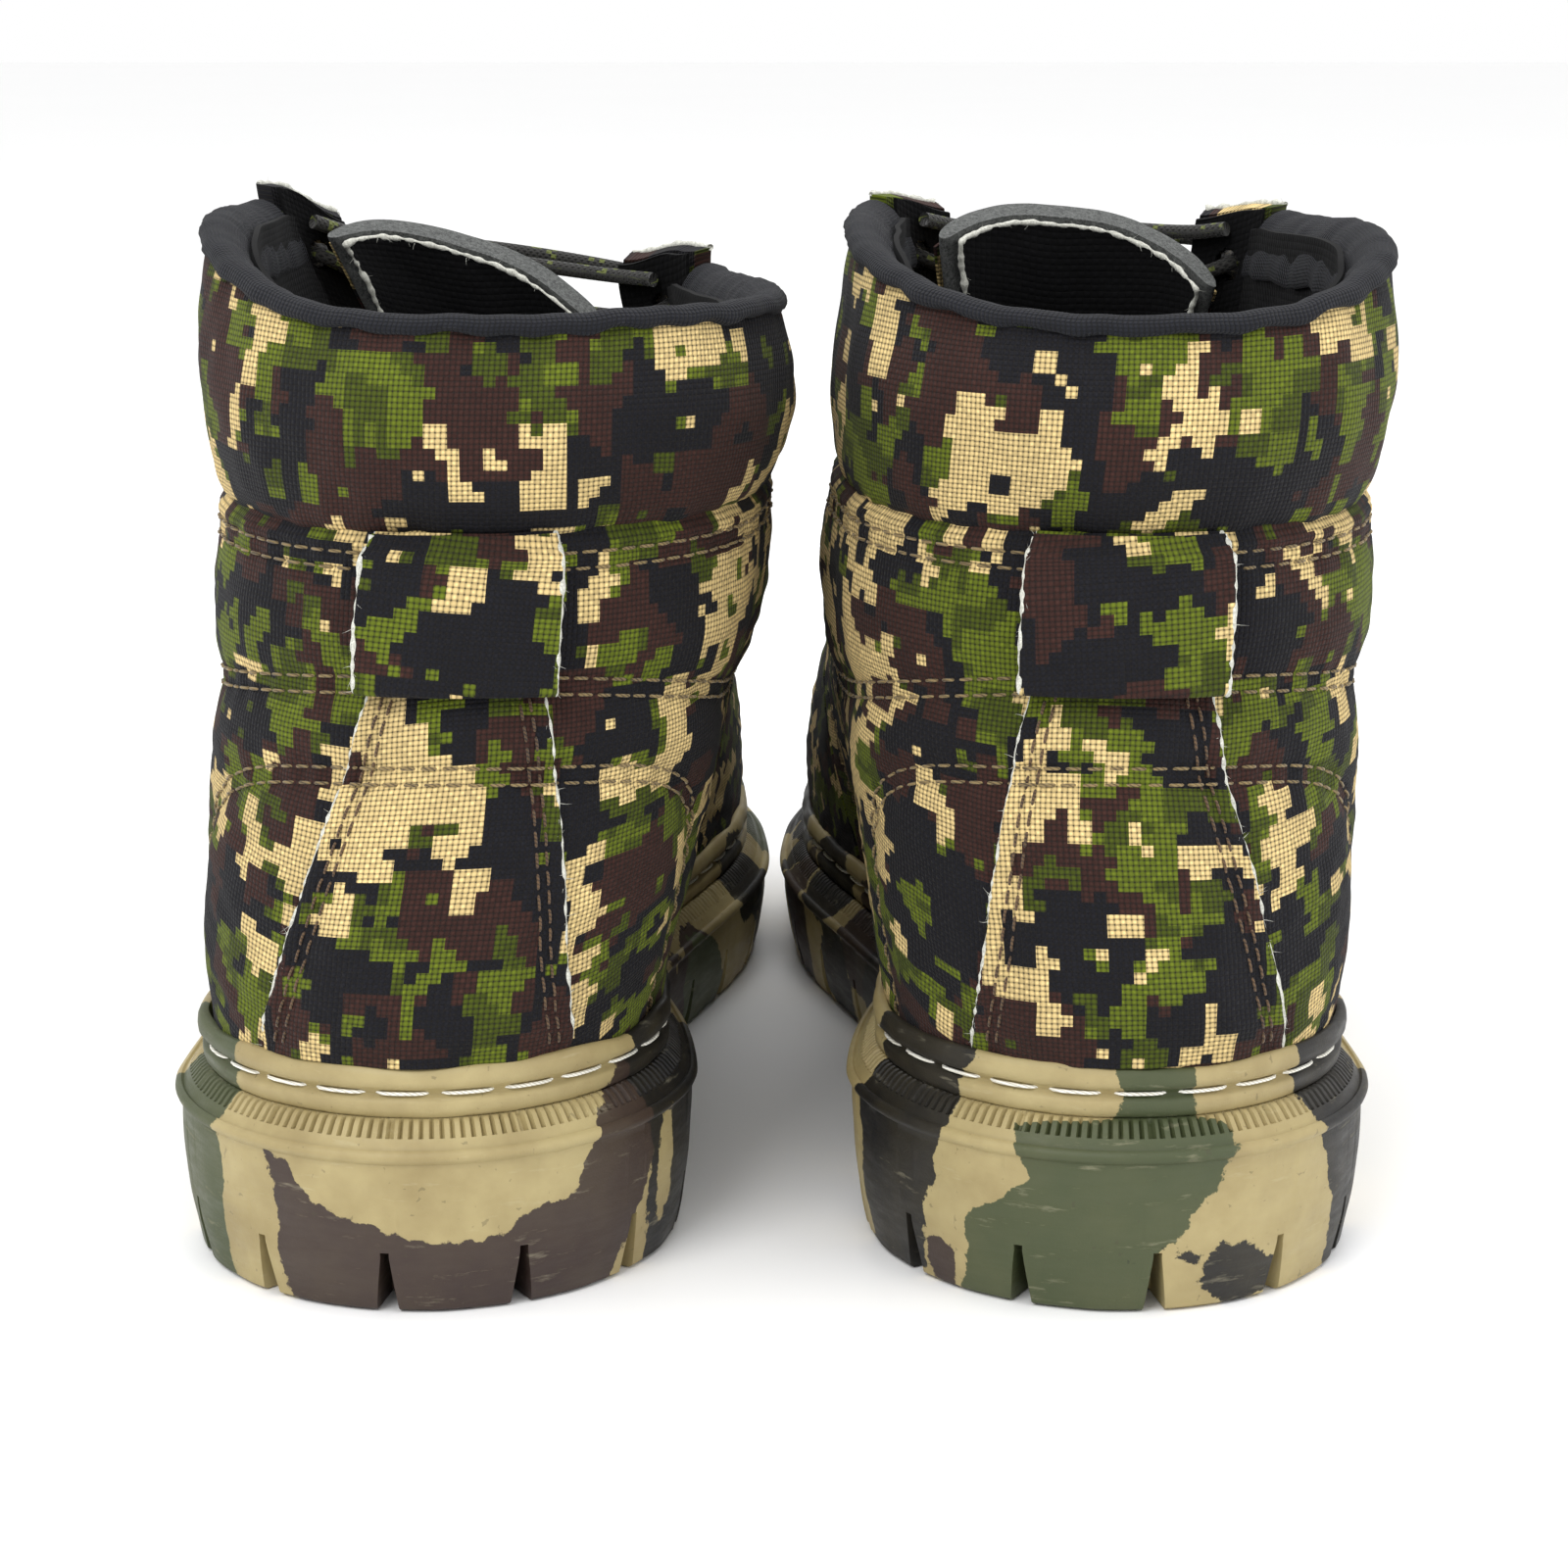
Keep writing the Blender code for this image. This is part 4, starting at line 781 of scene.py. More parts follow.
def seam_lines(boot):
    """The stitched lines of one boot's shell, by name."""
    fine = np.linspace(0.0, 1.0, 240)
    side = np.linspace(-1.0, 1.0, 400)
    column = side * EYE
    lines = {}
    # under the collar, where the shell is sewn to the padded collar
    t = np.full_like(side, 5.63)
    lines["collar"] = Seam(boot, t, column_angle(t, column), 0.25 * MM, 2.6 * MM)
    # the quilted line round the ankle, lower at the sides
    low = np.where(side > 0, 2.95, 3.35)
    t = 4.07 - (4.07 - low) * ease(np.abs(side) / 0.75)
    lines["quilt"] = Seam(boot, t, column_angle(t, column), 1.2 * MM, 4.2 * MM)
    # the arch over the heel counter, from the sole up and down again
    knots_t = (0.0, 0.8, 1.5, 2.1, 2.55, 2.85, 2.98, 3.02)
    knots_c = (4.05, 4.0, 3.8, 3.4, 2.8, 2.0, 1.0, 0.0)
    place = np.linspace(0, 7, 200)
    t = through(place, range(8), knots_t)
    c = through(place, range(8), knots_c)
    t, c = np.concatenate([t, t[-2::-1]]), np.concatenate([-c, c[-2::-1]])
    lines["arch"] = Seam(boot, t, column_angle(t, c), 0.9 * MM, 3.4 * MM)
    for name, sign in (("lateral", -1), ("medial", 1)):
        t = fine * 3.98
        edge = column_angle(t, sign * float(EDGE))
        back = np.array([2.9 * MM]) / 0.045
        lines[f"vamp_{name}"] = Seam(boot, t, edge - sign * back, 0.45 * MM, 2.6 * MM)
    # the side seam on the medial side, from the collar down to the sole
    t = 5.55 * (1 - fine)
    c = 5.15 + 0.75 * ease(fine * 1.2)
    lines["side"] = Seam(boot, t, column_angle(t, c), 0.8 * MM, 3.0 * MM)
    return lines


def shell_relief(boot, points, u, v):
    """Height of the quilted canvas over the boot's plain surface."""
    free = np.ones(points.shape[:-1])
    drawn = np.zeros(points.shape[:-1])
    for line in boot.seams.values():
        pulled, loose = line.relief(points)
        drawn += pulled
        free *= loose
    soft = 0.16 * MM * waves(u, v, 17.0, boot.seed) + 0.10 * MM * waves(u, v, 7.0, boot.seed + 5)
    return 0.25 * MM + 0.75 * MM * free + drawn + soft * (0.35 + free)


def stitches(path, normals, length, gap, radius, lift, sink=0.45 * MM, start=0.0):
    """Thread tubes along a path, each dipping into the cloth at both ends."""
    run = np.concatenate([[0.0], np.cumsum(np.linalg.norm(np.diff(path, axis=0), axis=1))])
    pitch = length + gap
    count = int((run[-1] - start) / pitch)
    steps = np.linspace(0.0, 1.0, 8)
    places = start + (np.arange(count)[:, None] * pitch + gap / 2 + steps[None] * length)
    centre = np.stack([np.interp(places, run, path[:, k]) for k in range(3)], -1)
    normal = unit(np.stack([np.interp(places, run, normals[:, k]) for k in range(3)], -1))
    dip = np.abs(2 * steps - 1) ** 5
    centre = centre + normal * (lift + radius * 0.55 - (sink + radius) * dip)[None, :, None]
    thin = 1 - 0.35 * dip
    return tube_mesh(centre, normal, radius * thin[None], 6)


def row_path(boot, t, angle, offset):
    """A path beside a line on the surface, offset to its side, with its normals."""
    points = surface(boot.name, t, angle)
    normals = outward(boot.name, t, angle)
    tangent = unit(np.gradient(points, axis=0))
    return points + np.cross(normals, tangent) * offset, normals


def seam_stitches(boot):
    """All the double rows on the shell, in light thread."""
    parts = []
    for k, (name, line) in enumerate(boot.seams.items()):
        for j, offset in enumerate(line.rows):
            path, normals = row_path(boot, line.t, line.angle, offset)
            u = np.zeros(len(path))
            height = shell_relief(boot, path, u, u)
            behind_loop = (np.abs(path[:, 0] - boot.back_x) < STAY_HALF_WIDTHS[1]) & (path[:, 1] < 0.03)
            if name == "collar" or name == "quilt":
                runs = np.split(np.arange(len(path)), np.flatnonzero(np.diff(behind_loop.astype(int))) + 1)
                runs = [r for r in runs if not behind_loop[r[0]] and len(r) > 20]
            else:
                runs = [np.arange(len(path))]
            for run in runs:
                on_stay = 0.0
                if name == "arch":
                    on_stay = 1.55 * MM * boot.on_stay(path)[run]
                lifted = path[run] + normals[run] * (height[run] + on_stay)[:, None]
                start = ((k * 7 + j * 3) % 5) * 0.4 * MM
                parts.append(stitches(lifted, normals[run], 2.7 * MM, 0.6 * MM, 0.26 * MM, 0.06 * MM, start=start))
    return joined(parts)


# ---- Sole ------------------------------------------------------------------------------------------
NOTCH_FIRST, NOTCH_PITCH = 0.018, 0.0225
NOTCH_HEIGHT, NOTCH_DEPTH = 0.0092, 0.0085
NOTCH_HALF_WIDTHS = (0.0019, 0.0007)  # at the floor and at its top
RIB_PITCH = 0.0017
WAIST_Y, WAIST_RISE = (0.091, 0.113), 0.0045


class Outline:
    """The sole's outline by distance from the back of the heel, positive on the medial side."""

    def __init__(self):
        angle = np.linspace(-math.pi, math.pi, 6001)
        plan, out = feather(angle)
        edge = plan + FLANGE * out
        run = np.concatenate([[0.0], np.cumsum(np.linalg.norm(np.diff(edge, axis=0), axis=1))])
        self.angle = angle
        self.run = run - np.interp(0.0, angle, run)
        self.length = run[-1]

    def angle_at(self, s):
        half = self.run[0]
        s = (np.asarray(s) - half) % self.length + half
        return np.interp(s, self.run, self.angle)


OUTLINE = Outline()


def paint_fields(boot, s, z):
    """How far inside the brown, green and black patches a place is, in mm; negative is outside."""
    s, z = s / MM, z / MM
    far = np.full(np.shape(s), -40.0)
    wander = 1.6 * waves(s, z * 1.5, 16.0, boot.seed + 31) + 0.8 * waves(s, z, 6.0, boot.seed + 32)

    def blob(centre, height, half, half_height, tilt=0.0):
        a = (s - centre - tilt * (z - height)) / half
        b = (z - height) / half_height
        return (1 - np.sqrt(a * a + b * b)) * min(half, half_height)

    if boot.name == "left":
        places = (-30, -21, -17, -3, 6, 18, 27, 33, 40, 60)
        rim = np.interp(s, places, (24, 24, 18.5, 13.2, 11.4, 13.8, 18.5, 28, 34, 34))
        brown = np.minimum(np.minimum(rim - z, s + 22 + 0.1 * z), 49 - s + 0.5 * (z - 26))
        green = np.maximum(far, np.minimum(-37 - s, s + 62))
        black = np.minimum(s - 45, 92 - s)
        tan_spot = blob(50, 15, 3.0, 7.5)
        black, brown = np.minimum(black, -tan_spot), np.minimum(brown, -tan_spot)
        black = np.where(s > 30, black, -40.0)
    else:
        left_edge = np.interp(z, (0, 6, 13, 17, 22, 30, 31, 37), (30, 29, 27, 22, 17, 19, 3, 3))
        right_edge = np.interp(z, (0, 10, 16, 20, 26, 30, 31, 37), (-4, -5, -9, -14, -17, -16, -11, -11))
        green = np.minimum(left_edge - s, s - right_edge)
        brown = blob(33, 4, 3.2, 5.0)
        black = np.maximum(blob(-19, 5.5, 7.0, 5.5, 0.3), blob(-9, 9.0, 6.0, 0.9))
        black = np.maximum(black, np.minimum(-38 - s + 0.3 * (z - 20), s + 66))
        black = np.maximum(black, np.minimum(s - 39 + 0.25 * z, 58 - s))
    # the rest of the way round, patches by a seeded draw
    random = np.random.default_rng(boot.seed + 7)
    half = OUTLINE.length / MM / 2
    for place in np.arange(-half + 8, half - 8, 17.0):
        place = place + random.uniform(-5, 5)
        kind = random.integers(0, 4)
        size = random.uniform(9, 17), random.uniform(7, 16)
        height = random.uniform(2, 30)
        tilt = random.uniform(-0.6, 0.6)
        if abs(place) < 66 + size[0]:
            continue
        patch = blob(place, height, *size, tilt)
        if kind == 0:
            brown = np.maximum(brown, patch)
        elif kind == 1:
            green = np.maximum(green, patch)
        elif kind == 2:
            black = np.maximum(black, patch)
    return np.stack([brown + 0.5 * wander, green + 0.5 * wander, black + 0.5 * wander], -1)


def sole_columns():
    """Places round the sole: for each, its distance, how it widens with the notch, and how deep it goes."""
    count = round(OUTLINE.length / NOTCH_PITCH)
    pitch = OUTLINE.length / count
    half = OUTLINE.length / 2
    notches = []
    for k in range(count):
        s = (NOTCH_FIRST + k * pitch + half) % OUTLINE.length - half
        plan, _ = feather(OUTLINE.angle_at(np.array([s])))
        if not WAIST_Y[0] - 0.006 < plan[0, 1] < WAIST_Y[1] + 0.006:
            notches.append(s)
    ribs = round(OUTLINE.length / RIB_PITCH)
    even = -half + OUTLINE.length * np.arange(ribs * 4) / (ribs * 4)
    rows = [(s, 0.0, 0.0) for s in even if min(abs(s - n) for n in notches) > 2.4 * MM]
    for n in notches:
        rows += [(n, -1.02, 0.0), (n, 1.02, 0.0), (n, -1.2, 0.0), (n, 1.2, 0.0)]
        rows += [(n, factor, 1.0) for factor in (-0.98, -0.75, -0.5, -0.25, 0.0, 0.25, 0.5, 0.75, 0.98)]
    rows = np.array(rows)
    widened = rows[:, 0] + rows[:, 1] * NOTCH_HALF_WIDTHS[0]
    return rows[np.argsort(widened)]


def make_outsole(boot):
    columns = sole_columns()
    s, factor, deep = columns.T
    heights = np.concatenate([[0.0, 0.02, 0.05], np.linspace(0.1, 1.0, 24)])
    levels = [  # distance out, height over the bead, share of the wall's height from the floor
        (-0.0134, -0.0060, None),
        (-0.0130, 0.0050, None),
        (0.0026, 0.0050, None),
        (0.0031, 0.0049, "rib"),
        (0.0038, 0.0044, "rib"),
        (0.0046, 0.0035, "rib"),
        (0.0052, 0.0028, "rib"),
        (0.0054, 0.0026, None),
        (0.0059, 0.0018, None),
        (0.0063, 0.0012, None),
        (0.0065, 0.0010, None),
        (0.0069, 0.0012, None),
        (0.0074, 0.0010, None),
        (0.0078, 0.0005, None),
        (0.0079, 0.0000, None),
        (0.0077, -0.0005, None),
        (0.0073, -0.0009, None),
        (0.0070, -0.0011, None),
    ]
    grid, places = [], []
    spread = s + factor * NOTCH_HALF_WIDTHS[0]
    rib_phase = np.cos(2 * math.pi * spread / (OUTLINE.length / round(OUTLINE.length / RIB_PITCH)))
    for out, rise, kind in levels:
        plan, away = feather(OUTLINE.angle_at(spread))
        base = bead_z(plan[:, 1])
        cut = 0.75 * MM * np.clip(rib_phase * 1.8 - 0.2, 0.0, 1.0) if kind == "rib" else 0.0
        edge = plan + away * (out - cut * 0.7)[:, None] if kind == "rib" else plan + away * out
        grid.append(np.column_stack([edge, base + rise - cut]))
        places.append(base + rise)
    for share in heights[::-1]:
        # the wall from under the bead down to the floor, drawn in towards the floor
        plan, away = feather(OUTLINE.angle_at(s))
        y = plan[:, 1]
        waist = WAIST_RISE * ease((y - WAIST_Y[0] + 0.002) / 0.004) * ease((WAIST_Y[1] + 0.002 - y) / 0.004)
        bottom = floor_z(y) + waist
        top = bead_z(y) - 0.0013
        z = bottom + (top - bottom) * share
        above = (z - bottom) / NOTCH_HEIGHT
        half = NOTCH_HALF_WIDTHS[0] + (NOTCH_HALF_WIDTHS[1] - NOTCH_HALF_WIDTHS[0]) * np.clip(above, 0, 1)
        half = np.where(above > 1.3, NOTCH_HALF_WIDTHS[0], half)
        plan, away = feather(OUTLINE.angle_at(s + factor * half))
        out = 0.0069 - 0.0026 * (1 - share) ** 2.2 - 0.0006 * (share < 0.01)
        inset = deep * NOTCH_DEPTH * ease((1.06 - above) / 0.14)
        bow = 0.12 * MM * waves(s / MM, z / MM, 14.0, 5)
        edge = plan + away * (out - inset + bow)[:, None]
        grid.append(np.column_stack([edge, z]))
        places.append(z)
    for out, rise in ((-0.0080, 0.0), (-0.0088, 0.0006), (-0.0100, 0.0038)):
        plan, away = feather(OUTLINE.angle_at(s + factor * NOTCH_HALF_WIDTHS[0]))
        y = plan[:, 1]
        waist = WAIST_RISE * ease((y - WAIST_Y[0] + 0.002) / 0.004) * ease((WAIST_Y[1] + 0.002 - y) / 0.004)
        z = floor_z(y) + np.maximum(waist, rise)
        grid.append(np.column_stack([plan + away * out, z]))
        places.append(z)
    grid = np.array(grid)
    rows, count = grid.shape[:2]
    # listed from the top down, so the rows are turned over to face out
    points = grid[::-1].reshape(-1, 3)
    faces = grid_faces(rows, count, ring=True)
    caps = []
    for first, over in ((0, False), ((rows - 1) * count, True)):
        for k in range(count // 2 - 1):
            a, b, c, d = k, k + 1, count - 2 - k, count - 1 - k
            cap = [first + a, first + b, first + c, first + d]
            caps.append(cap if over else cap[::-1])
    caps = np.array(caps)
    z = np.array(places)[::-1]
    run = np.broadcast_to(s + factor * NOTCH_HALF_WIDTHS[0], z.shape)
    body = (points, [faces, caps[[len(set(c)) == 4 for c in caps.tolist()]]])
    parts, fields = [body], [paint_fields(boot, run, z).reshape(-1, 3)]
    lugs = tread_lugs()
    parts.append(lugs)
    fields.append(np.tile([-40.0, -40.0, 6.0], (len(lugs[0]), 1)))
    points, faces = joined(parts)
    paint = {"paint": np.concatenate(fields)}
    return boot.piece("outsole", points, faces, MATERIALS["rubber"], "outsole_rubber",
                      replaces=["outsole"], attributes=paint, sharp=38)


def tread_lugs():
    """Blocks of the tread inside the ring of edge lugs: chevrons down the middle, each made of two slanted blocks."""
    parts = []
    y = 0.022
    while y < 0.275:
        if WAIST_Y[0] - 0.008 < y < WAIST_Y[1] + 0.008:
            y += 0.004
            continue
        at = np.array([y])
        angle = np.linspace(-math.pi, math.pi, 721)
        plan, away = feather(angle)
        inner = plan - away * 0.0125
        near = np.abs(inner[:, 1] - y) < 0.004
        if near.sum() < 4:
            break
        low, high = inner[near, 0].min(), inner[near, 0].max()
        middle, half = (low + high) / 2, (high - low) / 2
        for sign in (-1, 1):
            inside, outside = middle + sign * 0.0012, middle + sign * half * 0.93
            slope = 0.006
            shape = np.array([
                [inside, y + slope], [outside, y - slope * 0.4],
                [outside, y - slope * 0.4 - 0.0075], [inside, y + slope - 0.0088],
            ])
            if sign < 0:
                shape = shape[::-1]
            centre = shape.mean(0)
            wide = centre + (shape - centre) * 1.10
            floor = floor_z(np.array([y]))[0]
            low_ring = np.column_stack([shape, np.full(4, floor + 0.0001)])
            mid_ring = np.column_stack([centre + (shape - centre) * 1.03, np.full(4, floor + 0.0008)])
            high_ring = np.column_stack([wide, np.full(4, floor + 0.0045)])
            points = np.concatenate([low_ring, mid_ring, high_ring])
            quads = grid_faces(3, 4, ring=True)[:, ::-1]
            caps = np.array([[0, 1, 2, 3], [11, 10, 9, 8]])
            parts.append((points, [quads, caps]))
        y += 0.0155
    return joined(parts)


RAND_SECTION = (  # out from the upper's surface, height above the bead, going up the outer face
    (0.0008, 0.0052), (0.0026, 0.0051), (0.0030, 0.0056), (0.0031, 0.0064), (0.0030, 0.0074),
    (0.0027, 0.0080), (0.0020, 0.0083), (0.0016, 0.0088), (0.0018, 0.0094), (0.0025, 0.0098),
    (0.0029, 0.0103), (0.0028, 0.0113), (0.0025, 0.0122), (0.0020, 0.0130), (0.0014, 0.0133),
    (0.0006, 0.0131), (0.0003, 0.0100),
)
WELT_STITCH_PITCH = 0.0100
WELT_RISE = 0.0090


def rand_points(boot, s, out, rise):
    """Points beside the lowest part of the upper, at a height above the bead."""
    angle = OUTLINE.angle_at(s)
    plan, _ = feather(angle)
    z = bead_z(plan[..., 1]) + rise
    low = surface(boot.name, np.zeros_like(angle), angle)
    high = surface(boot.name, np.ones_like(angle), angle)
    share = np.clip((z - low[..., 2]) / (high[..., 2] - low[..., 2]), -0.1, 1.0)
    point = surface(boot.name, share, angle)
    away = outward(boot.name, np.full_like(angle, 0.3), angle)
    away[..., 2] = 0.0
    point = point + unit(away) * np.asarray(out)[..., None]
    point[..., 2] = z
    return point, unit(away)


def make_rand(boot):
    count = round(OUTLINE.length / (0.8 * MM))
    s = -OUTLINE.length / 2 + OUTLINE.length * np.arange(count) / count
    rows, heights = [], []
    for out, rise in RAND_SECTION:
        uneven = 0.30 * MM * waves(s / MM, 0.0, 24.0, boot.seed + 50) * ease((rise - 0.0105) / 0.002)
        puff = 0.10 * MM * waves(s / MM, rise * 900, 12.0, boot.seed + 51)
        points, _ = rand_points(boot, s, out + puff, rise + uneven)
        rows.append(points)
        heights.append(points[:, 2])
    grid = np.array(rows)
    size = len(RAND_SECTION)
    index = np.arange(size * count).reshape(size, count)
    index = np.concatenate([index, index[:1]], 0)
    index = np.concatenate([index, index[:, :1]], 1)
    quads = np.stack([index[:-1, :-1], index[:-1, 1:], index[1:, 1:], index[1:, :-1]], -1).reshape(-1, 4)
    z = np.array(heights)
    fields = paint_fields(boot, np.broadcast_to(s, z.shape), z)
    paint = {"paint": fields.reshape(-1, 3)}
    boot.piece("welt_rand", grid.reshape(-1, 3), [quads], MATERIALS["rubber"], "rand_rubber",
               replaces=["welt_rand"], attributes=paint, sharp=50)
    fine = np.linspace(-OUTLINE.length / 2, OUTLINE.length / 2, 1500)
    path, away = rand_points(boot, fine, 0.0021, WELT_RISE)
    made = stitches(path, away, 9.3 * MM, 0.9 * MM, 0.31 * MM, 0.0, sink=0.9 * MM, start=0.003)
    boot.piece("welt_stitch", *made, MATERIALS["welt_thread"], "thread", replaces=["welt_stitch"])


def make_footbed(boot):
    """A moulded felt footbed with a raised rim at the heel."""
    angle = np.linspace(0.0, math.pi, 60)
    loop = np.concatenate([angle, -angle[-2:0:-1]])
    plan, away = feather(loop)
    low = UPPER_RISE + 0.0022
    levels = ((-0.0090, low), (-0.0084, low + 0.0020), (-0.0087, low + 0.0052), (-0.0098, low + 0.0057),
              (-0.0115, low + 0.0052), (-0.0160, low + 0.0044), (-0.0230, low + 0.0042))
    grid = []
    for out, rise in levels:
        plan_at = plan + away * out
        grid.append(np.column_stack([plan_at, bead_z(plan[:, 1]) + rise]))
    grid = np.array(grid)
    rows, count = grid.shape[:2]
    faces = grid_faces(rows, count, ring=True)
    caps = []
    for first, over in ((0, True), ((rows - 1) * count, False)):
        for k in range(count // 2):
            ring = [first + k, first + k + 1, first + (count - k - 1) % count, first + (count - k) % count]
            ring = ring if over else ring[::-1]
            caps.append(ring)
    quads = np.array([c for c in caps if len(set(c)) == 4])
    tris = np.array([list(dict.fromkeys(c)) for c in caps if len(set(c)) == 3])
    boot.piece("footbed", grid.reshape(-1, 3), [faces, quads[:, ::-1], tris[:, ::-1]], MATERIALS["footbed"],
               "footbed_felt", replaces=["footbed"])


# ---- Upper -----------------------------------------------------------------------------------------
CANVAS_THICKNESS = 1.4 * MM


def panel(boot, name, t, column, keep, origin, node, gap=0.0):
    """A canvas panel over a grid of ring heights and columns."""
    t_grid, c_grid = np.meshgrid(t, column, indexing="ij")
    if gap:
        angle = column_angle(t_grid, c_grid)
        front = 0 if column[0] < 0 else -1
        angle[:, front] -= math.copysign(gap, column[front])
    else:
        angle = column_angle(t_grid, c_grid)
    base = surface(boot.name, t_grid, angle)
    away = outward(boot.name, t_grid, angle)
    cloth = cloth_map(base, boot.seed, origin, from_top=True)
    height = shell_relief(boot, base, cloth[..., 0], cloth[..., 1])
    height = height - 2.6 * MM * ease((t_grid - 5.84) / 0.25)
    outer = base + away * height[..., None]
    inner = base + away * (np.minimum(height, 0.2 * MM) - CANVAS_THICKNESS)[..., None]
    points, faces = closed_sheet(outer, inner, keep)
    return boot.piece(name, points, faces, MATERIALS["canvas"], "camo_canvas", replaces=[node],
                      attributes={CLOTH: twice(cloth)}, sharp=60)


def make_panels(boot):
    t = np.linspace(0.0, 6.14, 134)
    column = np.linspace(0.0, EDGE, 181)
    middle_t, middle_c = (t[:-1] + t[1:]) / 2, (column[:-1] + column[1:]) / 2
    keep = (middle_t[:, None] < THROAT) | (middle_c[None] < EYE)
    panel(boot, "quarter_medial", t, column, keep, 0, "quarter_medial", 0.006)
    panel(boot, "quarter_lateral", t, -column[::-1], keep[:, ::-1], 180, "quarter_lateral", 0.006)

    # the vamp, from the medial seam round the toe to the lateral seam
    t = np.linspace(0.0, 4.0, 111)
    sweep = np.linspace(0.0, 1.0, 221)
    t_grid, sweep = np.meshgrid(t, sweep, indexing="ij")
    edge = column_angle(t_grid, float(EDGE)) + 0.006
    angle = edge + (2 * math.pi - 2 * edge) * sweep
    base = surface(boot.name, t_grid, angle)
    away = outward(boot.name, t_grid, angle)
    cloth = cloth_map(base, boot.seed + 0.37, 110)
    height = shell_relief(boot, base, cloth[..., 0], cloth[..., 1])
    outer = base + away * height[..., None]
    inner = base + away * (np.minimum(height, 0.2 * MM) - CANVAS_THICKNESS)[..., None]
    points, faces = closed_sheet(outer, inner)
    x, y, z = (base[..., k] / MM for k in range(3))
    lean = math.radians(27)
    solid = np.stack([x, y * math.cos(lean) - z * math.sin(lean), y * math.sin(lean) + z * math.cos(lean)], -1)
    boot.piece("vamp", points, faces, MATERIALS["vamp_canvas"], "camo_canvas", replaces=["vamp"],
               attributes={CLOTH: twice(cloth), SOLID: twice(solid)}, sharp=60)


def make_collar(boot):
    """The padded collar: a pillow that rolls into the seam below and under the binding above."""
    t = 5.95 + 2.02 * (0.5 - 0.5 * np.cos(np.linspace(0.0, math.pi, 81)))
    column = np.linspace(-EYE, EYE, 361)
    t_grid, c_grid = np.meshgrid(t, column, indexing="ij")
    angle = column_angle(t_grid, c_grid)
    base = surface(boot.name, t_grid, angle)
    away = outward(boot.name, t_grid, angle)
    cloth = cloth_map(base, boot.seed + 0.71, 180)
    share = (t_grid - 5.95) / 2.02
    round_off = np.clip(1 - np.abs(2 * share - 1) ** 5, 0.0, 1.0) ** 0.5
    low = np.exp(-share / 0.10)
    high = np.exp(-(1 - share) / 0.10)
    u = cloth[..., 0]
    pucker = 0.28 * MM * waves(u, 0.0, 8.0, boot.seed + 61) * (low + high)
    soft = 0.30 * MM * waves(u, cloth[..., 1], 26.0, boot.seed + 62)
    soft = soft + 0.12 * MM * waves(u, cloth[..., 1], 9.0, boot.seed + 63)
    crown = 1.1 * MM * np.sin(math.pi * share) + soft
    bottom_roll = -3.2 * MM * (1 - round_off) * (share < 0.5)
    top_roll = -1.4 * MM * (1 - round_off) * (share >= 0.5)
    height = crown + bottom_roll + top_roll + pucker
    depth = 3.4 * MM + (6.0 * MM - 3.4 * MM) * np.sin(math.pi * share) ** 0.5
    outer = base + away * height[..., None]
    inner = base - away * depth[..., None]
    points, faces = closed_sheet(outer, inner)
    pad = boot.piece("collar_pad", points, faces, MATERIALS["canvas"], "camo_canvas",
                     replaces=["collar_pad"], attributes={CLOTH: twice(cloth)}, sharp=70)


def make_binding(boot):
    """The knit tape folded over the collar's edge: outside a thin band, inside a wider one."""
    column = np.linspace(-EYE, EYE, 421)
    angle = column_angle(np.full_like(column, TOP), column)
    top = surface(boot.name, TOP, angle)
    away = outward(boot.name, np.full_like(angle, TOP - 0.05), angle)
    away[:, 2] *= 0.2
    away = unit(away)
    down = unit(surface(boot.name, TOP - 0.4, angle) - top)
    run = running_length(top[None], 1)[0]
    u = run / MM
    slack = 0.35 * MM * waves(u, 0.0, 15.0, boot.seed + 71) + 0.22 * MM * waves(u, 0.0, 6.0, boot.seed + 72)
    section = (  # out from the surface, distance down
        (-0.0006, 0.0026), (0.0007, 0.0022), (0.0012, 0.0015), (0.0011, 0.0006), (0.0006, -0.0002),
        (-0.0004, -0.0006), (-0.0018, -0.0006), (-0.0034, 0.0000), (-0.0050, 0.0012), (-0.0064, 0.0030),
        (-0.0076, 0.0054), (-0.0085, 0.0080), (-0.0088, 0.0108), (-0.0084, 0.0116), (-0.0079, 0.0108),
        (-0.0074, 0.0078), (-0.0060, 0.0048), (-0.0044, 0.0028), (-0.0020, 0.0012), (-0.0008, 0.0018),
    )
    rows = []
    for out, drop in section:
        edge = 1.0 if drop > 0.002 else 0.35
        bump = 0.18 * MM * waves(u, out * 900, 7.0, boot.seed + 73)
        rows.append(top + away * (out + bump)[:, None] + down * (drop + slack * edge)[:, None])
    grid = np.array(rows)
    size, count = grid.shape[:2]
    index = np.arange(size * count).reshape(size, count)
    index = np.concatenate([index, index[:1]], 0)
    quads = np.stack([index[:-1, :-1], index[:-1, 1:], index[1:, 1:], index[1:, :-1]], -1).reshape(-1, 4)
    caps = np.stack([index[:size, 0], index[:size, -1][::-1]])
    around = np.concatenate([[0.0], np.cumsum(np.linalg.norm(np.diff(np.array(section), axis=0), axis=1))]) / MM
    cloth = np.stack([np.broadcast_to(u, (size, count)), np.broadcast_to(around[:, None], (size, count)),
                      np.full((size, count), boot.seed)], -1)
    boot.piece("collar_binding", grid.reshape(-1, 3), [quads, caps], MATERIALS["binding"],
               "knit_binding", replaces=["collar_binding"], attributes={CLOTH: cloth.reshape(-1, 3)}, sharp=70)


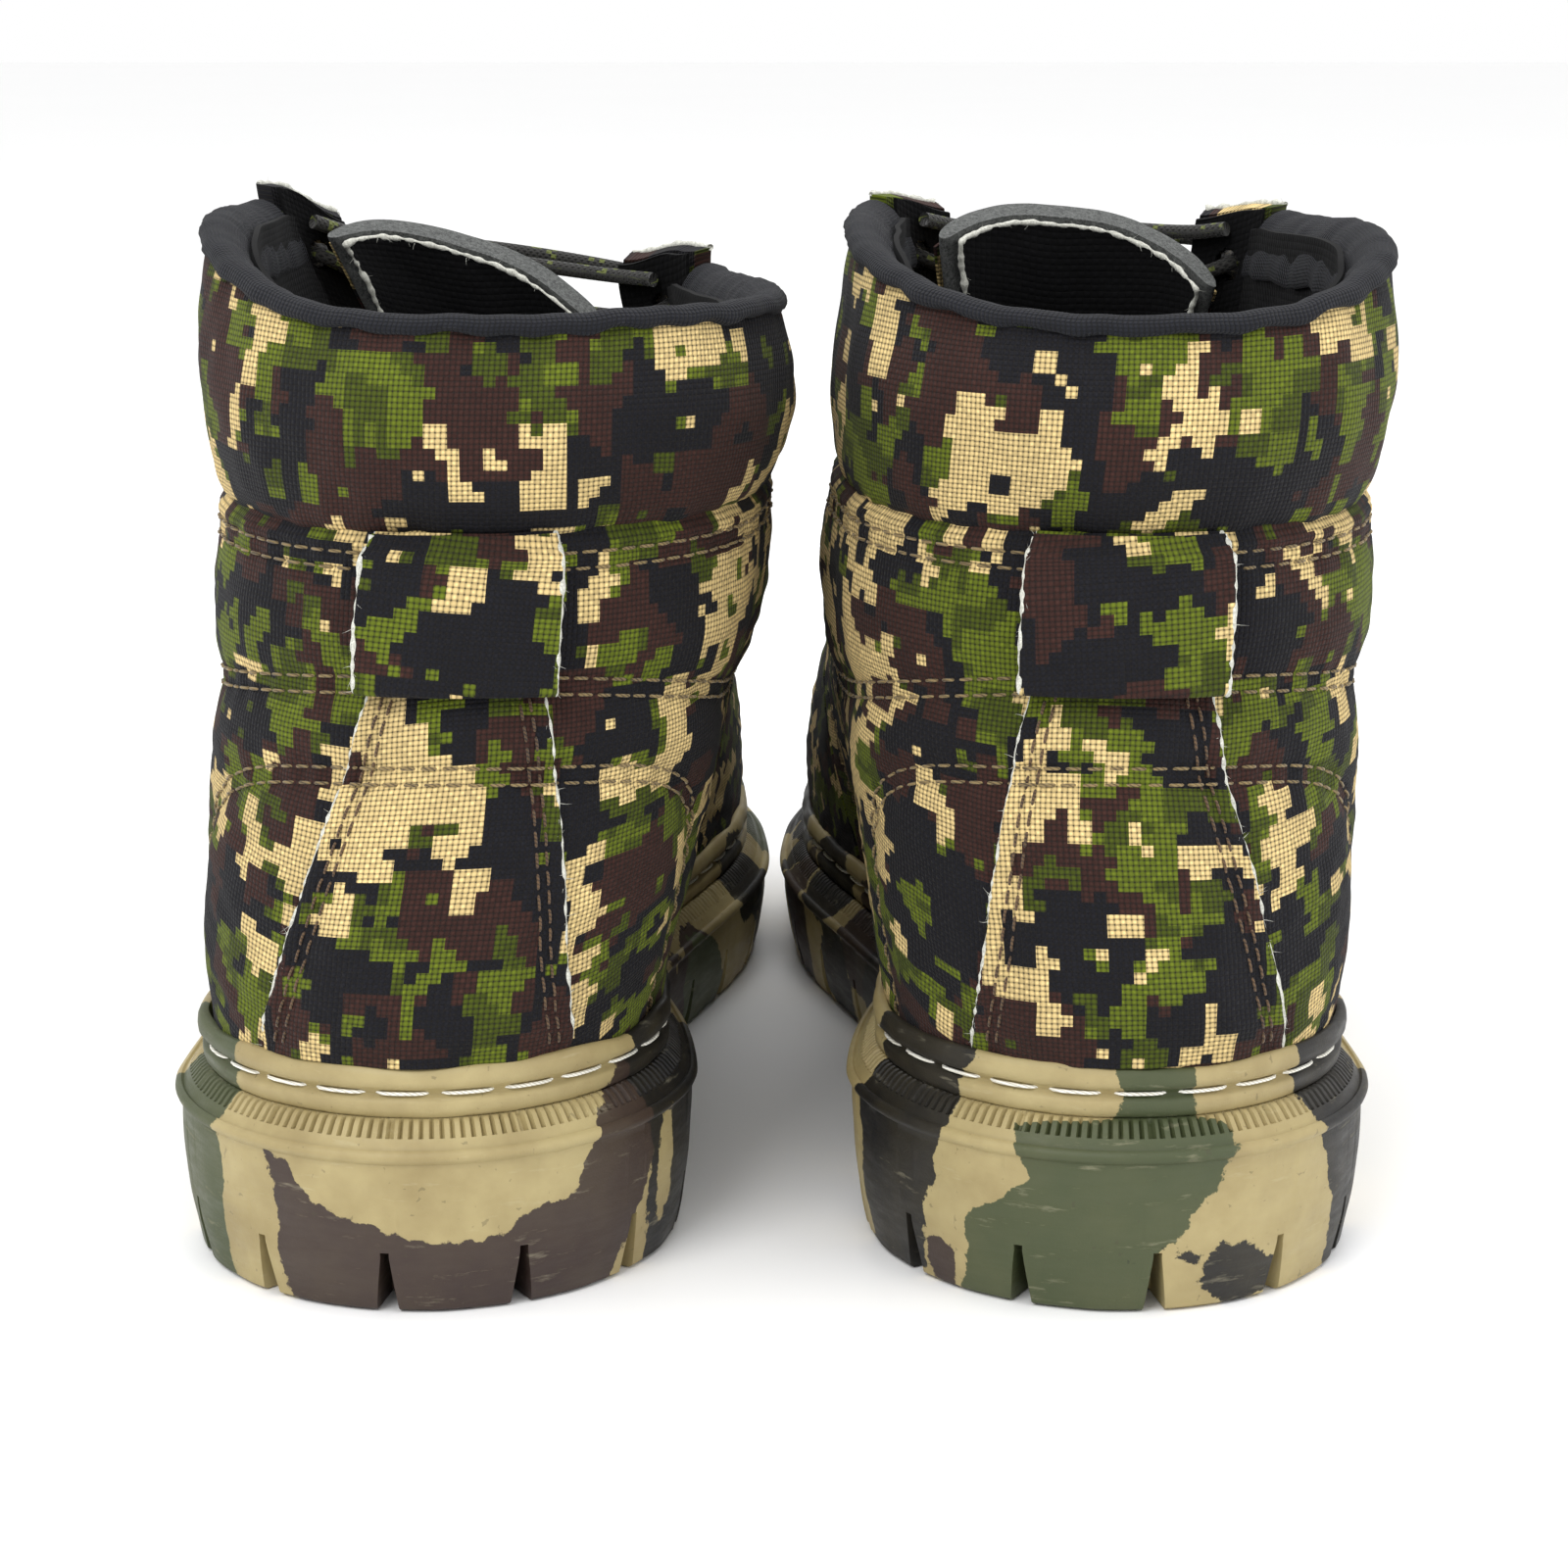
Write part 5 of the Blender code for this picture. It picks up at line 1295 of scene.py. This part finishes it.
def make_lining(boot):
    t = np.linspace(0.0, 7.9, 100)
    column = np.linspace(-FRONT, FRONT, 281)[:-1]
    t_grid, c_grid = np.meshgrid(t, column, indexing="ij")
    angle = column_angle(t_grid, c_grid)
    base = surface(boot.name, t_grid, angle)
    away = outward(boot.name, t_grid, angle)
    cloth = cloth_map(base, boot.seed, 140, from_top=True)
    soft = 0.20 * MM * waves(cloth[..., 0], cloth[..., 1], 22.0, boot.seed + 81)
    # where this pair is wider than the frame, the lining stays inside the frame's insulation
    lateral, medial = (np.interp(t_grid, range(len(RINGS)), gains) for gains in SPREAD[boot.name])
    wider = 1.1 * np.maximum(np.where(angle > 0, medial, lateral), 0.0)
    wider = wider * np.clip(2 * np.abs(np.sin(angle)), 0.0, 1.0)
    outer = base + away * (soft - 7.15 * MM - wider)[..., None]
    inner = outer - away * 0.9 * MM
    middle_t = (t[:-1] + t[1:]) / 2
    near = np.abs(column)
    step = np.maximum(near, np.roll(near, -1))
    keep = (middle_t[:, None] < THROAT) | (step[None] <= EYE + 0.001)
    points, faces = closed_sheet(outer, inner, keep, ring=True)
    boot.piece("lining", points, faces, MATERIALS["lining"], "lining_textile", replaces=["lining"],
               attributes={CLOTH: twice(cloth)}, sharp=70)


# ---- Heel trim -------------------------------------------------------------------------------------
def stay_half_width(z):
    share = np.clip((z - STAY_Z[0]) / (STAY_Z[1] - STAY_Z[0]), 0.0, 1.0)
    return STAY_HALF_WIDTHS[0] + (STAY_HALF_WIDTHS[1] - STAY_HALF_WIDTHS[0]) * share


def raw_edge(boot, name, path, normals, radius, seed, body=None):
    """The white cut edge of the foam-backed canvas, uneven and with a few loose fibres."""
    random = np.random.default_rng(seed)
    run = np.concatenate([[0.0], np.cumsum(np.linalg.norm(np.diff(path, axis=0), axis=1))])
    even = np.arange(0.0, run[-1], 0.45 * MM)
    centre = np.stack([np.interp(even, run, path[:, k]) for k in range(3)], -1)
    normal = unit(np.stack([np.interp(even, run, normals[:, k]) for k in range(3)], -1))
    thick = radius * np.clip(1 + 0.35 * waves(even / MM, 0.0, 2.6, seed) + 0.2 * waves(even / MM, 9.0, 9.0, seed + 1),
                             0.45, 1.8)
    centre = centre + normal * (0.15 * MM * waves(even / MM, 3.0, 4.0, seed + 2))[:, None]
    parts = [tube_mesh(centre[None], normal[None], thick[None], 8)]
    count = int(run[-1] / (1.6 * MM))
    starts = random.uniform(0.0, run[-1], count)
    base = np.stack([np.interp(starts, run, path[:, k]) for k in range(3)], -1)
    face = unit(np.stack([np.interp(starts, run, normals[:, k]) for k in range(3)], -1))
    heading = unit(face * random.uniform(0.2, 1.0, (count, 1)) + random.normal(0.0, 0.7, (count, 3)))
    curl = unit(random.normal(0.0, 1.0, (count, 3)))
    length = random.uniform(0.6, 2.1, (count, 1)) * MM
    steps = np.linspace(0.0, 1.0, 5)
    hairs = base[:, None] + heading[:, None] * (length * steps)[..., None]
    hairs = hairs + curl[:, None] * (length * 0.35 * steps**2)[..., None]
    parts.append(tube_mesh(hairs, face[:, None] + np.zeros_like(hairs), 0.055 * MM * (1.1 - steps)[None], 4))
    return boot.piece(name, *joined(parts), MATERIALS["raw"], "camo_canvas", body=body)


def make_stay(boot):
    """The back stay: a strip up the heel, over the quilted shell, with raw edges."""
    t = np.linspace(0.42, 5.82, 125)
    z = surface(boot.name, t, np.zeros_like(t))[:, 2]
    reach = angle_at_width(boot.name, t, stay_half_width(z))
    across = np.linspace(-1.0, 1.0, 61)
    t_grid = np.broadcast_to(t[:, None], (len(t), len(across)))
    angle = reach[:, None] * across[None]
    base = surface(boot.name, t_grid, angle)
    away = outward(boot.name, t_grid, angle)
    cloth = cloth_map(base, boot.seed + 1.13, 30)
    under = shell_relief(boot, base, cloth[..., 0], cloth[..., 1])
    inset = (1 - np.abs(across))[None] * stay_half_width(z)[:, None]
    sewn = np.exp(-(((inset - 3.1 * MM) / (1.5 * MM)) ** 2))
    middle = 0.5 * MM * ease((inset - 4 * MM) / (5 * MM))
    height = under + 1.15 * MM - 0.45 * MM * sewn + middle
    height = height - 0.25 * MM * np.exp(-(inset / (0.5 * MM)) ** 2)
    height = height - 0.9 * MM * (1 - ease((t[:, None] - 0.42) / 0.35))
    outer = base + away * height[..., None]
    inner = base + away * np.maximum(under + 0.02 * MM, height - 1.3 * MM)[..., None]
    points, faces = closed_sheet(outer, inner)
    boot.piece("back_stay", points, faces, MATERIALS["canvas"], "camo_canvas", replaces=["back_stay"],
               attributes={CLOTH: twice(cloth)}, sharp=60)
    rows = []
    for sign, column in ((-1, 0), (1, -1)):
        edge = outer[:, column] - away[:, column] * 0.30 * MM
        raw_edge(boot, f"stay_edge_{'lateral' if sign < 0 else 'medial'}", edge[:-6], away[:-6, column],
                 0.32 * MM, boot.seed + 91 + sign)
        for inset_at, pitch in ((2.4 * MM, 2.5 * MM), (3.9 * MM, 2.8 * MM)):
            share = 1 - inset_at / stay_half_width(z)
            place = sign * reach * share
            on = surface(boot.name, t, place)
            normal = outward(boot.name, t, place)
            path = on + normal * np.stack(
                [np.interp(share[k], across, sign * height[k][:: 1] * sign) if sign > 0
                 else np.interp(share[k], across, height[k][::-1]) for k in range(len(t))]
            )[:, None]
            keep = slice(2, 96) if inset_at < 3 * MM else slice(2, 92)
            rows.append(stitches(path[keep], normal[keep], pitch, 0.5 * MM, 0.24 * MM, 0.05 * MM))
    boot.piece("stay_stitch", *joined(rows), MATERIALS["stay_thread"], "thread")


def make_loop(boot):
    """The pull loop: a folded strap hanging from the collar seam, with raw edges."""
    body = f"{boot.name}_pull_loop"
    fold = np.linspace(0.0, 1.0, 90)
    across = np.linspace(-1.0, 1.0, 49)
    # the strap runs down its inner leg, round the fold, and up its outer leg
    straight = 0.47
    inner_leg = fold < straight
    outer_leg = fold > 1 - straight
    turn = np.clip((fold - straight) / (1 - 2 * straight), 0.0, 1.0) * math.pi
    run = np.where(inner_leg, fold / straight, np.where(outer_leg, (1 - fold) / straight, 1.0))
    t = LOOP_TOP + (LOOP_FOLD + 0.06 - LOOP_TOP) * run - 0.06 * np.sin(turn)
    low, high = 2.9 * MM, 4.3 * MM
    middle, swing = (low + high) / 2, (high - low) / 2
    out = middle - swing * np.cos(turn)
    bulge = np.sin(math.pi * np.clip(run, 0, 1)) * 0.9 * MM
    out = out + np.where(outer_leg, bulge, 0.25 * bulge)
    out = out + np.where(run < 0.12, -3.6 * MM * (1 - run / 0.12), 0.0)
    reach = angle_at_width(boot.name, t, LOOP_HALF_WIDTH)
    angle = reach[:, None] * across[None]
    t_grid = np.broadcast_to(t[:, None], angle.shape)
    base = surface(boot.name, t_grid, angle)
    away = outward(boot.name, t_grid, angle)
    cloth = cloth_map(base, boot.seed + 2.61, 24, turn=math.radians(5))
    soft = 0.16 * MM * waves(cloth[..., 0], cloth[..., 1], 13.0, boot.seed + 95)
    centre = base + away * (out[:, None] + soft)[..., None]
    normal = unit(np.cross(np.gradient(centre, axis=1), np.gradient(centre, axis=0)))
    thick = 0.42 * MM
    points, faces = closed_sheet(centre + normal * thick, centre - normal * thick)
    boot.piece("pull_loop", points, faces, MATERIALS["canvas"], "camo_canvas", body=body,
               replaces=["pull_loop"], attributes={CLOTH: twice(cloth)}, sharp=60)
    for sign, column in ((-1, 0), (1, -1)):
        raw_edge(boot, f"loop_edge_{'lateral' if sign < 0 else 'medial'}", centre[:, column], away[:, column],
                 0.40 * MM, boot.seed + 97 + sign, body=body)


# ---- Throat: tongue, eyestays, eyelets and lace ----------------------------------------------------
def tongue_grid(boot, depth_extra, t, across):
    """Points of a layer of the tongue, depth_extra below its outer face, and their normals."""
    rows, normals = [], []
    sweep = np.linspace(-1.25, 1.25, 241)
    share = (t - t[0]) / (t[-1] - t[0])
    for k, height in enumerate(t):
        half = TONGUE_HALF_ARC[0] + (TONGUE_HALF_ARC[1] - TONGUE_HALF_ARC[0]) * share[k]
        depth = TONGUE_DEPTHS[0] + (TONGUE_DEPTHS[1] - TONGUE_DEPTHS[0]) * share[k]
        level = np.full_like(sweep, min(height, TOP))
        on = surface(boot.name, level, math.pi + sweep)
        away = outward(boot.name, level, math.pi + sweep)
        if height > TOP:
            on[:, 2] += (height - TOP) * 0.020
            on[:, 1] -= (height - TOP) * 0.008
        line = on - away * depth
        run = np.concatenate([[0.0], np.cumsum(np.linalg.norm(np.diff(line, axis=0), axis=1))])
        run -= run[120]
        place = half * across
        point = np.stack([np.interp(place, run, line[:, j]) for j in range(3)], -1)
        normal = unit(np.stack([np.interp(place, run, away[:, j]) for j in range(3)], -1))
        extra = depth_extra[k] if np.ndim(depth_extra) == 2 else depth_extra
        point = point - normal * np.broadcast_to(extra, across.shape)[:, None]
        point[:, 2] += share[k] ** 3 * (
            TONGUE_ARCH[0] - TONGUE_ARCH[1] * np.abs(across) ** 2.4 + TONGUE_TILT[boot.name] * across
        )
        rows.append(point)
        normals.append(normal)
    return np.array(rows), np.array(normals)


def make_tongue(boot):
    body = f"{boot.name}_tongue"
    t = np.linspace(3.92, 8.0, 81)
    across = np.linspace(-1.0, 1.0, 61)
    share = (t - t[0]) / (t[-1] - t[0])
    side = np.clip(1 - np.abs(across) ** 6, 0.0, 1.0)[None] ** 0.5
    foot = ease(share / 0.08)[:, None]
    u, v = across[None] * 30, share[:, None] * 78
    soft = 0.25 * MM * waves(u, v, 24.0, boot.seed + 101) + 0.10 * MM * waves(u, v, 8.0, boot.seed + 102)
    full = 0.15 + 0.85 * side * (0.4 + 0.6 * foot)
    middle = TONGUE_THICKNESS * 0.5
    front, _ = tongue_grid(boot, middle - middle * full + soft, t, across)
    back, _ = tongue_grid(boot, middle + middle * full + soft, t, across)
    points, faces = closed_sheet(front, back)
    cloth = cloth_map(front, boot.seed + 3.3, 30)
    pad = boot.piece("tongue", points, faces, MATERIALS["felt"], "tongue_felt", body=body,
                     replaces=["tongue"], attributes={CLOTH: twice(cloth)}, sharp=70)
    # a canvas face in front, a dark textile towards the leg, both a little short of the padding's edge
    near = across * 0.95
    thick = 0.5 * MM
    for name, at, low, material, slot in (
        ("tongue_facing", -0.30 * MM, 0, MATERIALS["canvas"], "camo_canvas"),
        ("tongue_lining", TONGUE_THICKNESS + 0.80 * MM, 0, MATERIALS["tongue_lining"], "lining_textile"),
    ):
        rows_t = t[: -3 if name == "tongue_facing" else -1]
        grow = (share[: len(rows_t)] - 0)[:, None]
        outer, normal = tongue_grid(boot, at + soft[: len(rows_t)] + 0.0 * grow, rows_t, near)
        inner = outer - normal * thick
        points, faces = closed_sheet(outer, inner)
        cloth = cloth_map(outer, boot.seed + 4.1, 30)
        boot.piece(name, points, faces, material, slot, body=body, attributes={CLOTH: twice(cloth)}, sharp=70)
        if name == "tongue_lining":
            loop = np.concatenate([inner[20:, 0], inner[-1, 1:-1], inner[::-1, -1][: len(rows_t) - 20]])
            away = np.concatenate([normal[20:, 0], normal[-1, 1:-1], normal[::-1, -1][: len(rows_t) - 20]])
            raw_edge(boot, "tongue_edge", loop + away * 0.3 * MM, -away, 0.42 * MM, boot.seed + 105, body=body)


def eyelet_places():
    span = EYELET_LAST - EYELET_FIRST
    return np.array([EYELET_FIRST + span * (k / (EYELET_COUNT - 1)) ** 0.94 for k in range(EYELET_COUNT)])


def make_eyestays(boot):
    for side, sign in (("lateral", -1), ("medial", 1)):
        t = np.linspace(4.03, TOP + 0.05, 151)
        across = np.linspace(0.0, 1.0, 31)  # 0 at the throat's edge
        wide = EYESTAY_ANGLE - 0.026
        angle = sign * (THROAT_ANGLE - wide * across)[None] + np.zeros((len(t), 1))
        t_grid = np.broadcast_to(t[:, None], angle.shape)
        base = surface(boot.name, np.minimum(t_grid, TOP), angle)
        crest = EYESTAY_CREST[boot.name] * ease(across[None] * 1.5) - 0.0016 * (1 - across[None])
        base[..., 2] += crest * ease((t_grid - 6.8) / 1.2)
        away = outward(boot.name, np.minimum(t_grid, TOP), angle)
        cloth = cloth_map(base, boot.seed + 5.2 + sign * 0.3, 0)
        run_in = running_length(base, 1)
        width = run_in[:, -1:]
        edge = np.minimum(run_in, width - run_in)
        sewn = 0.22 * MM * np.exp(-(((edge - 2.0 * MM) / (0.7 * MM)) ** 2))
        height = 1.0 * MM - sewn - 0.5 * MM * np.exp(-(edge / (0.5 * MM)) ** 2)
        height = height + 0.10 * MM * waves(cloth[..., 0], cloth[..., 1], 11.0, boot.seed + 111)
        outer = base + away * height[..., None]
        inner = base - away * 2.8 * MM
        centres = surface(boot.name, eyelet_places(), sign * EYELET_ANGLE)
        normals = outward(boot.name, eyelet_places(), sign * EYELET_ANGLE)
        quad = (base[:-1, :-1] + base[1:, 1:]) / 2
        near = np.min(np.linalg.norm(quad[:, :, None] - centres[None, None], axis=-1), axis=-1)
        keep = near > 3.0 * MM
        if sign < 0:
            outer, inner, cloth, keep = outer, inner, cloth, keep
        else:
            outer, inner, cloth, keep = outer[:, ::-1], inner[:, ::-1], cloth[:, ::-1], keep[:, ::-1]
        points, faces = closed_sheet(outer, inner, keep)
        boot.piece(f"eyestay_{side}", points, faces, MATERIALS["canvas"], "camo_canvas",
                   replaces=[f"eyestay_{side}"], attributes={CLOTH: twice(cloth)}, sharp=60)
        backing = closed_sheet(*(
            (base - away * depth * MM)[:, :: -1 if sign > 0 else 1] for depth in (4.3, 4.9)
        ), keep)
        boot.piece(f"eyestay_lining_{side}", *backing, MATERIALS["lining"], "lining_textile",
                   attributes={CLOTH: twice(cloth)}, sharp=60)
        top = outer[-1] - 0.3 * MM * away[-1, :: -1 if sign > 0 else 1]
        raw_edge(boot, f"eyestay_top_{side}", top, away[-1], 0.50 * MM, boot.seed + 113 + sign)
        throat = outer[:, -1 if sign > 0 else 0]
        raw_edge(boot, f"eyestay_edge_{side}", throat - away[:, 0] * 0.5 * MM, away[:, 0], 0.38 * MM,
                 boot.seed + 117 + sign)
        rows = []
        for column in (3, -5, -8):
            path = (base + away * height[..., None])[:, column]
            rows.append(stitches(path[3:-3], away[3:-3, column], 2.6 * MM, 0.55 * MM, 0.25 * MM, 0.05 * MM))
        boot.piece(f"eyestay_stitch_{side}", *joined(rows), MATERIALS["stay_thread"], "thread")
        make_eyelets(boot, side, sign, centres, normals)


def make_eyelets(boot, side, sign, centres, normals):
    """Turned eyelets with a rolled flange, on a tape behind the eyestay."""
    profile = np.array([  # radius, height over the surface
        (2.35, -3.9), (2.95, -3.9), (3.0, -2.0), (3.05, 0.95), (3.3, 1.05), (4.5, 0.98), (4.62, 1.12),
        (4.5, 1.42), (4.05, 1.72), (3.4, 1.82), (2.85, 1.66), (2.5, 1.3), (2.36, 0.8), (2.34, -1.5),
    ]) * MM
    turn = np.linspace(0.0, 2 * math.pi, 41)[:-1]
    parts = []
    for centre, normal in zip(centres, normals):
        one = unit(np.cross(normal, (0.0, 0.0, 1.0)))
        two = np.cross(normal, one)
        ring = one[None] * np.cos(turn)[:, None] + two[None] * np.sin(turn)[:, None]
        grid = centre + profile[:, 0, None, None] * ring[None] + profile[:, 1, None, None] * normal
        size, count = grid.shape[:2]
        index = np.arange(size * count).reshape(size, count)
        index = np.concatenate([index, index[:1]], 0)
        index = np.concatenate([index, index[:, :1]], 1)
        quads = np.stack([index[:-1, :-1], index[:-1, 1:], index[1:, 1:], index[1:, :-1]], -1).reshape(-1, 4)
        parts.append((grid.reshape(-1, 3), [quads[:, ::-1]]))
    t = np.linspace(4.2, 7.72, 90)
    across = np.linspace(-1.0, 1.0, 17)
    angle = sign * (EYELET_ANGLE + EYESTAY_ANGLE * 0.26 * across)[None] + np.zeros((len(t), 1))
    t_grid = np.broadcast_to(t[:, None], angle.shape)
    base = surface(boot.name, t_grid, angle)
    away = outward(boot.name, t_grid, angle)
    quad = (base[:-1, :-1] + base[1:, 1:]) / 2
    near = np.min(np.linalg.norm(quad[:, :, None] - centres[None, None], axis=-1), axis=-1)
    tape = closed_sheet(base - away * 3.3 * MM, base - away * 4.0 * MM, near > 2.7 * MM)
    if sign > 0:
        tape = (tape[0], tape[1])
    else:
        tape = (tape[0], [f[:, ::-1] for f in tape[1]])
    parts.append(tape)
    boot.piece(f"eyelets_{side}", *joined(parts), MATERIALS["eyelet"], "blackened_metal",
               replaces=[f"eyelets_{side}"], sharp=50)


def lace_route(boot):
    """The lace's way: a bar across the lowest eyelets, then crossed up to the top pair, ends tucked in."""
    outside, in_hole, inside = 0.0036, -0.0010, -0.0064
    over, under, underpass = 0.0010, -0.0034, -0.0052
    edge_out, edge_in, edge_angle, tuck = 0.0026, -0.0056, math.radians(158), 0.36
    places = eyelet_places()

    def at(side, t, out, angle=EYELET_ANGLE):
        t, angle = np.array([t]), np.array([side * angle])
        return (surface(boot.name, t, angle) + out * outward(boot.name, t, angle))[0]

    def half(side):
        crossing = over if side > 0 else under
        points = [at(side, places[0], out) for out in (outside, in_hole, inside)]
        here = side
        for k in range(EYELET_COUNT):
            tucked = k == EYELET_COUNT - 1
            low = places[k]
            high = low + tuck if tucked else places[k + 1]
            rise = high - low
            points.append(at(here, low + rise * 0.25, inside if k == 0 else edge_out, edge_angle))
            middle = underpass if k == 0 and side < 0 else crossing
            points.append(at(here, low + rise * 0.5, middle, math.pi))
            points.append(at(-here, low + rise * 0.75, edge_in, edge_angle))
            points.append(at(-here, high, inside))
            if not tucked:
                points += [at(-here, high, in_hole), at(-here, high, outside)]
            here = -here
        return points

    bar = [at(side, places[0], outside - 0.0004, edge_angle) for side in (-1, 1)]
    return np.array([*reversed(half(-1)), *bar, *half(1)])


def make_lace(boot):
    path = lace_route(boot)
    for _ in range(4):  # corners are cut until the line is smooth
        near, far = path[:-1], path[1:]
        cut = np.stack([near * 0.75 + far * 0.25, near * 0.25 + far * 0.75], 1).reshape(-1, 3)
        path = np.concatenate([path[:1], cut, path[-1:]])
    run = np.concatenate([[0.0], np.cumsum(np.linalg.norm(np.diff(path, axis=0), axis=1))])
    even = np.arange(0.0, run[-1], 0.7 * MM)
    path = np.stack([np.interp(even, run, path[:, k]) for k in range(3)], -1)
    sides = 16
    # a frame carried along the lace without twisting
    tangent = unit(np.gradient(path, axis=0))
    normal = np.zeros_like(path)
    normal[0] = unit(np.cross(tangent[0], (0.3, 0.9, 0.1)))
    for k in range(1, len(path)):
        kept = normal[k - 1] - tangent[k] * (normal[k - 1] @ tangent[k])
        normal[k] = unit(kept)
    points, faces = tube_mesh(path[None], normal[None], LACE_RADIUS, sides)
    turn = np.arange(sides) * 2 * math.pi / sides
    cloth = np.stack(np.broadcast_arrays(even[:, None] / MM, turn[None], 0.0), -1).reshape(-1, 3)
    boot.piece("lace", points, faces, MATERIALS["lace"], "lace_cord", replaces=["lace"],
               attributes={CLOTH: cloth})


# ---- The pair --------------------------------------------------------------------------------------
def dress_cad_nodes():
    """Inner pieces keep their own solids and take a finish each."""
    for node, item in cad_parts.items():
        kind = node.split("_", 1)[1]
        if kind in CAD_FINISHES:
            item.data.materials.clear()
            item.data.materials.append(MATERIALS[CAD_FINISHES[kind]])


def make_boot(name):
    boot = Boot(name)
    boot.back_x = float(surface(name, np.array([5.0]), np.array([0.0]))[0, 0])
    boot.seams = seam_lines(boot)

    def on_stay(points):
        half = stay_half_width(points[:, 2])
        middle = surface(name, np.full(len(points), 3.0), np.zeros(len(points)))[:, 0]
        return ease((half - np.abs(points[:, 0] - middle)) / (0.8 * MM)) * (points[:, 1] < 0.04)

    boot.on_stay = on_stay
    make_outsole(boot)
    make_rand(boot)
    make_footbed(boot)
    make_lining(boot)
    make_panels(boot)
    make_collar(boot)
    make_binding(boot)
    make_stay(boot)
    make_loop(boot)
    make_tongue(boot)
    make_eyestays(boot)
    make_lace(boot)
    boot.piece("seam_stitch", *seam_stitches(boot), MATERIALS["seam_thread"], "thread")


def make_studio():
    """A pale floor, soft light from above and in front, and the camera behind the heels."""
    floor_mesh = bpy.data.meshes.new("studio_floor")
    size = 6.0
    floor_mesh.from_pydata([(-size, -size, 0), (size, -size, 0), (size, size, 0), (-size, size, 0)], [], [(0, 1, 2, 3)])
    graph = Graph("studio_floor", roughness=0.6, Specular_IOR_Level=0.2)
    tone = graph.noise(graph.place_mm(), 0.004, 2.0)
    colour = graph.mix(tone, (0.955, 0.955, 0.955, 1.0), (0.97, 0.97, 0.97, 1.0))
    floor_mesh.materials.append(graph.finish(colour))
    floor = bpy.data.objects.new("studio_floor", floor_mesh)
    floor.location.z = -0.0002
    bpy.context.scene.collection.objects.link(floor)

    world = bpy.data.worlds.new("studio")
    world.use_nodes = True
    world.node_tree.nodes["Background"].inputs["Color"].default_value = (1.0, 1.0, 1.0, 1.0)
    world.node_tree.nodes["Background"].inputs["Strength"].default_value = 1.0
    bpy.context.scene.world = world
    for name, location, target, side, power in (
        ("key", (-0.7, -1.3, 1.5), (0, -0.05, 0.06), 0.9, 17.0),
        ("top", (0.15, 0.15, 1.7), (0, 0, 0), 1.6, 14.0),
        ("fill", (1.2, -0.9, 0.8), (0, 0, 0.08), 0.9, 4.0),
    ):
        light = bpy.data.lights.new(name, "AREA")
        light.energy, light.size = power, side
        lamp = bpy.data.objects.new(name, light)
        lamp.location = location
        aim = Vector(target) - Vector(location)
        lamp.rotation_euler = aim.to_track_quat("-Z", "Y").to_euler()
        bpy.context.scene.collection.objects.link(lamp)

    camera = bpy.data.objects.new("camera", bpy.data.cameras.new("camera"))
    camera.data.lens = 82.0
    camera.data.sensor_width = 36.0
    camera.location = (0.002, -0.670, 0.207)
    camera.rotation_euler = (math.radians(90 - 13.2), 0.0, 0.0)
    bpy.context.scene.collection.objects.link(camera)
    bpy.context.scene.camera = camera
    bpy.context.scene.view_settings.view_transform = "Standard"


make_studio()
dress_cad_nodes()
for boot_name in ("left", "right"):
    make_boot(boot_name)
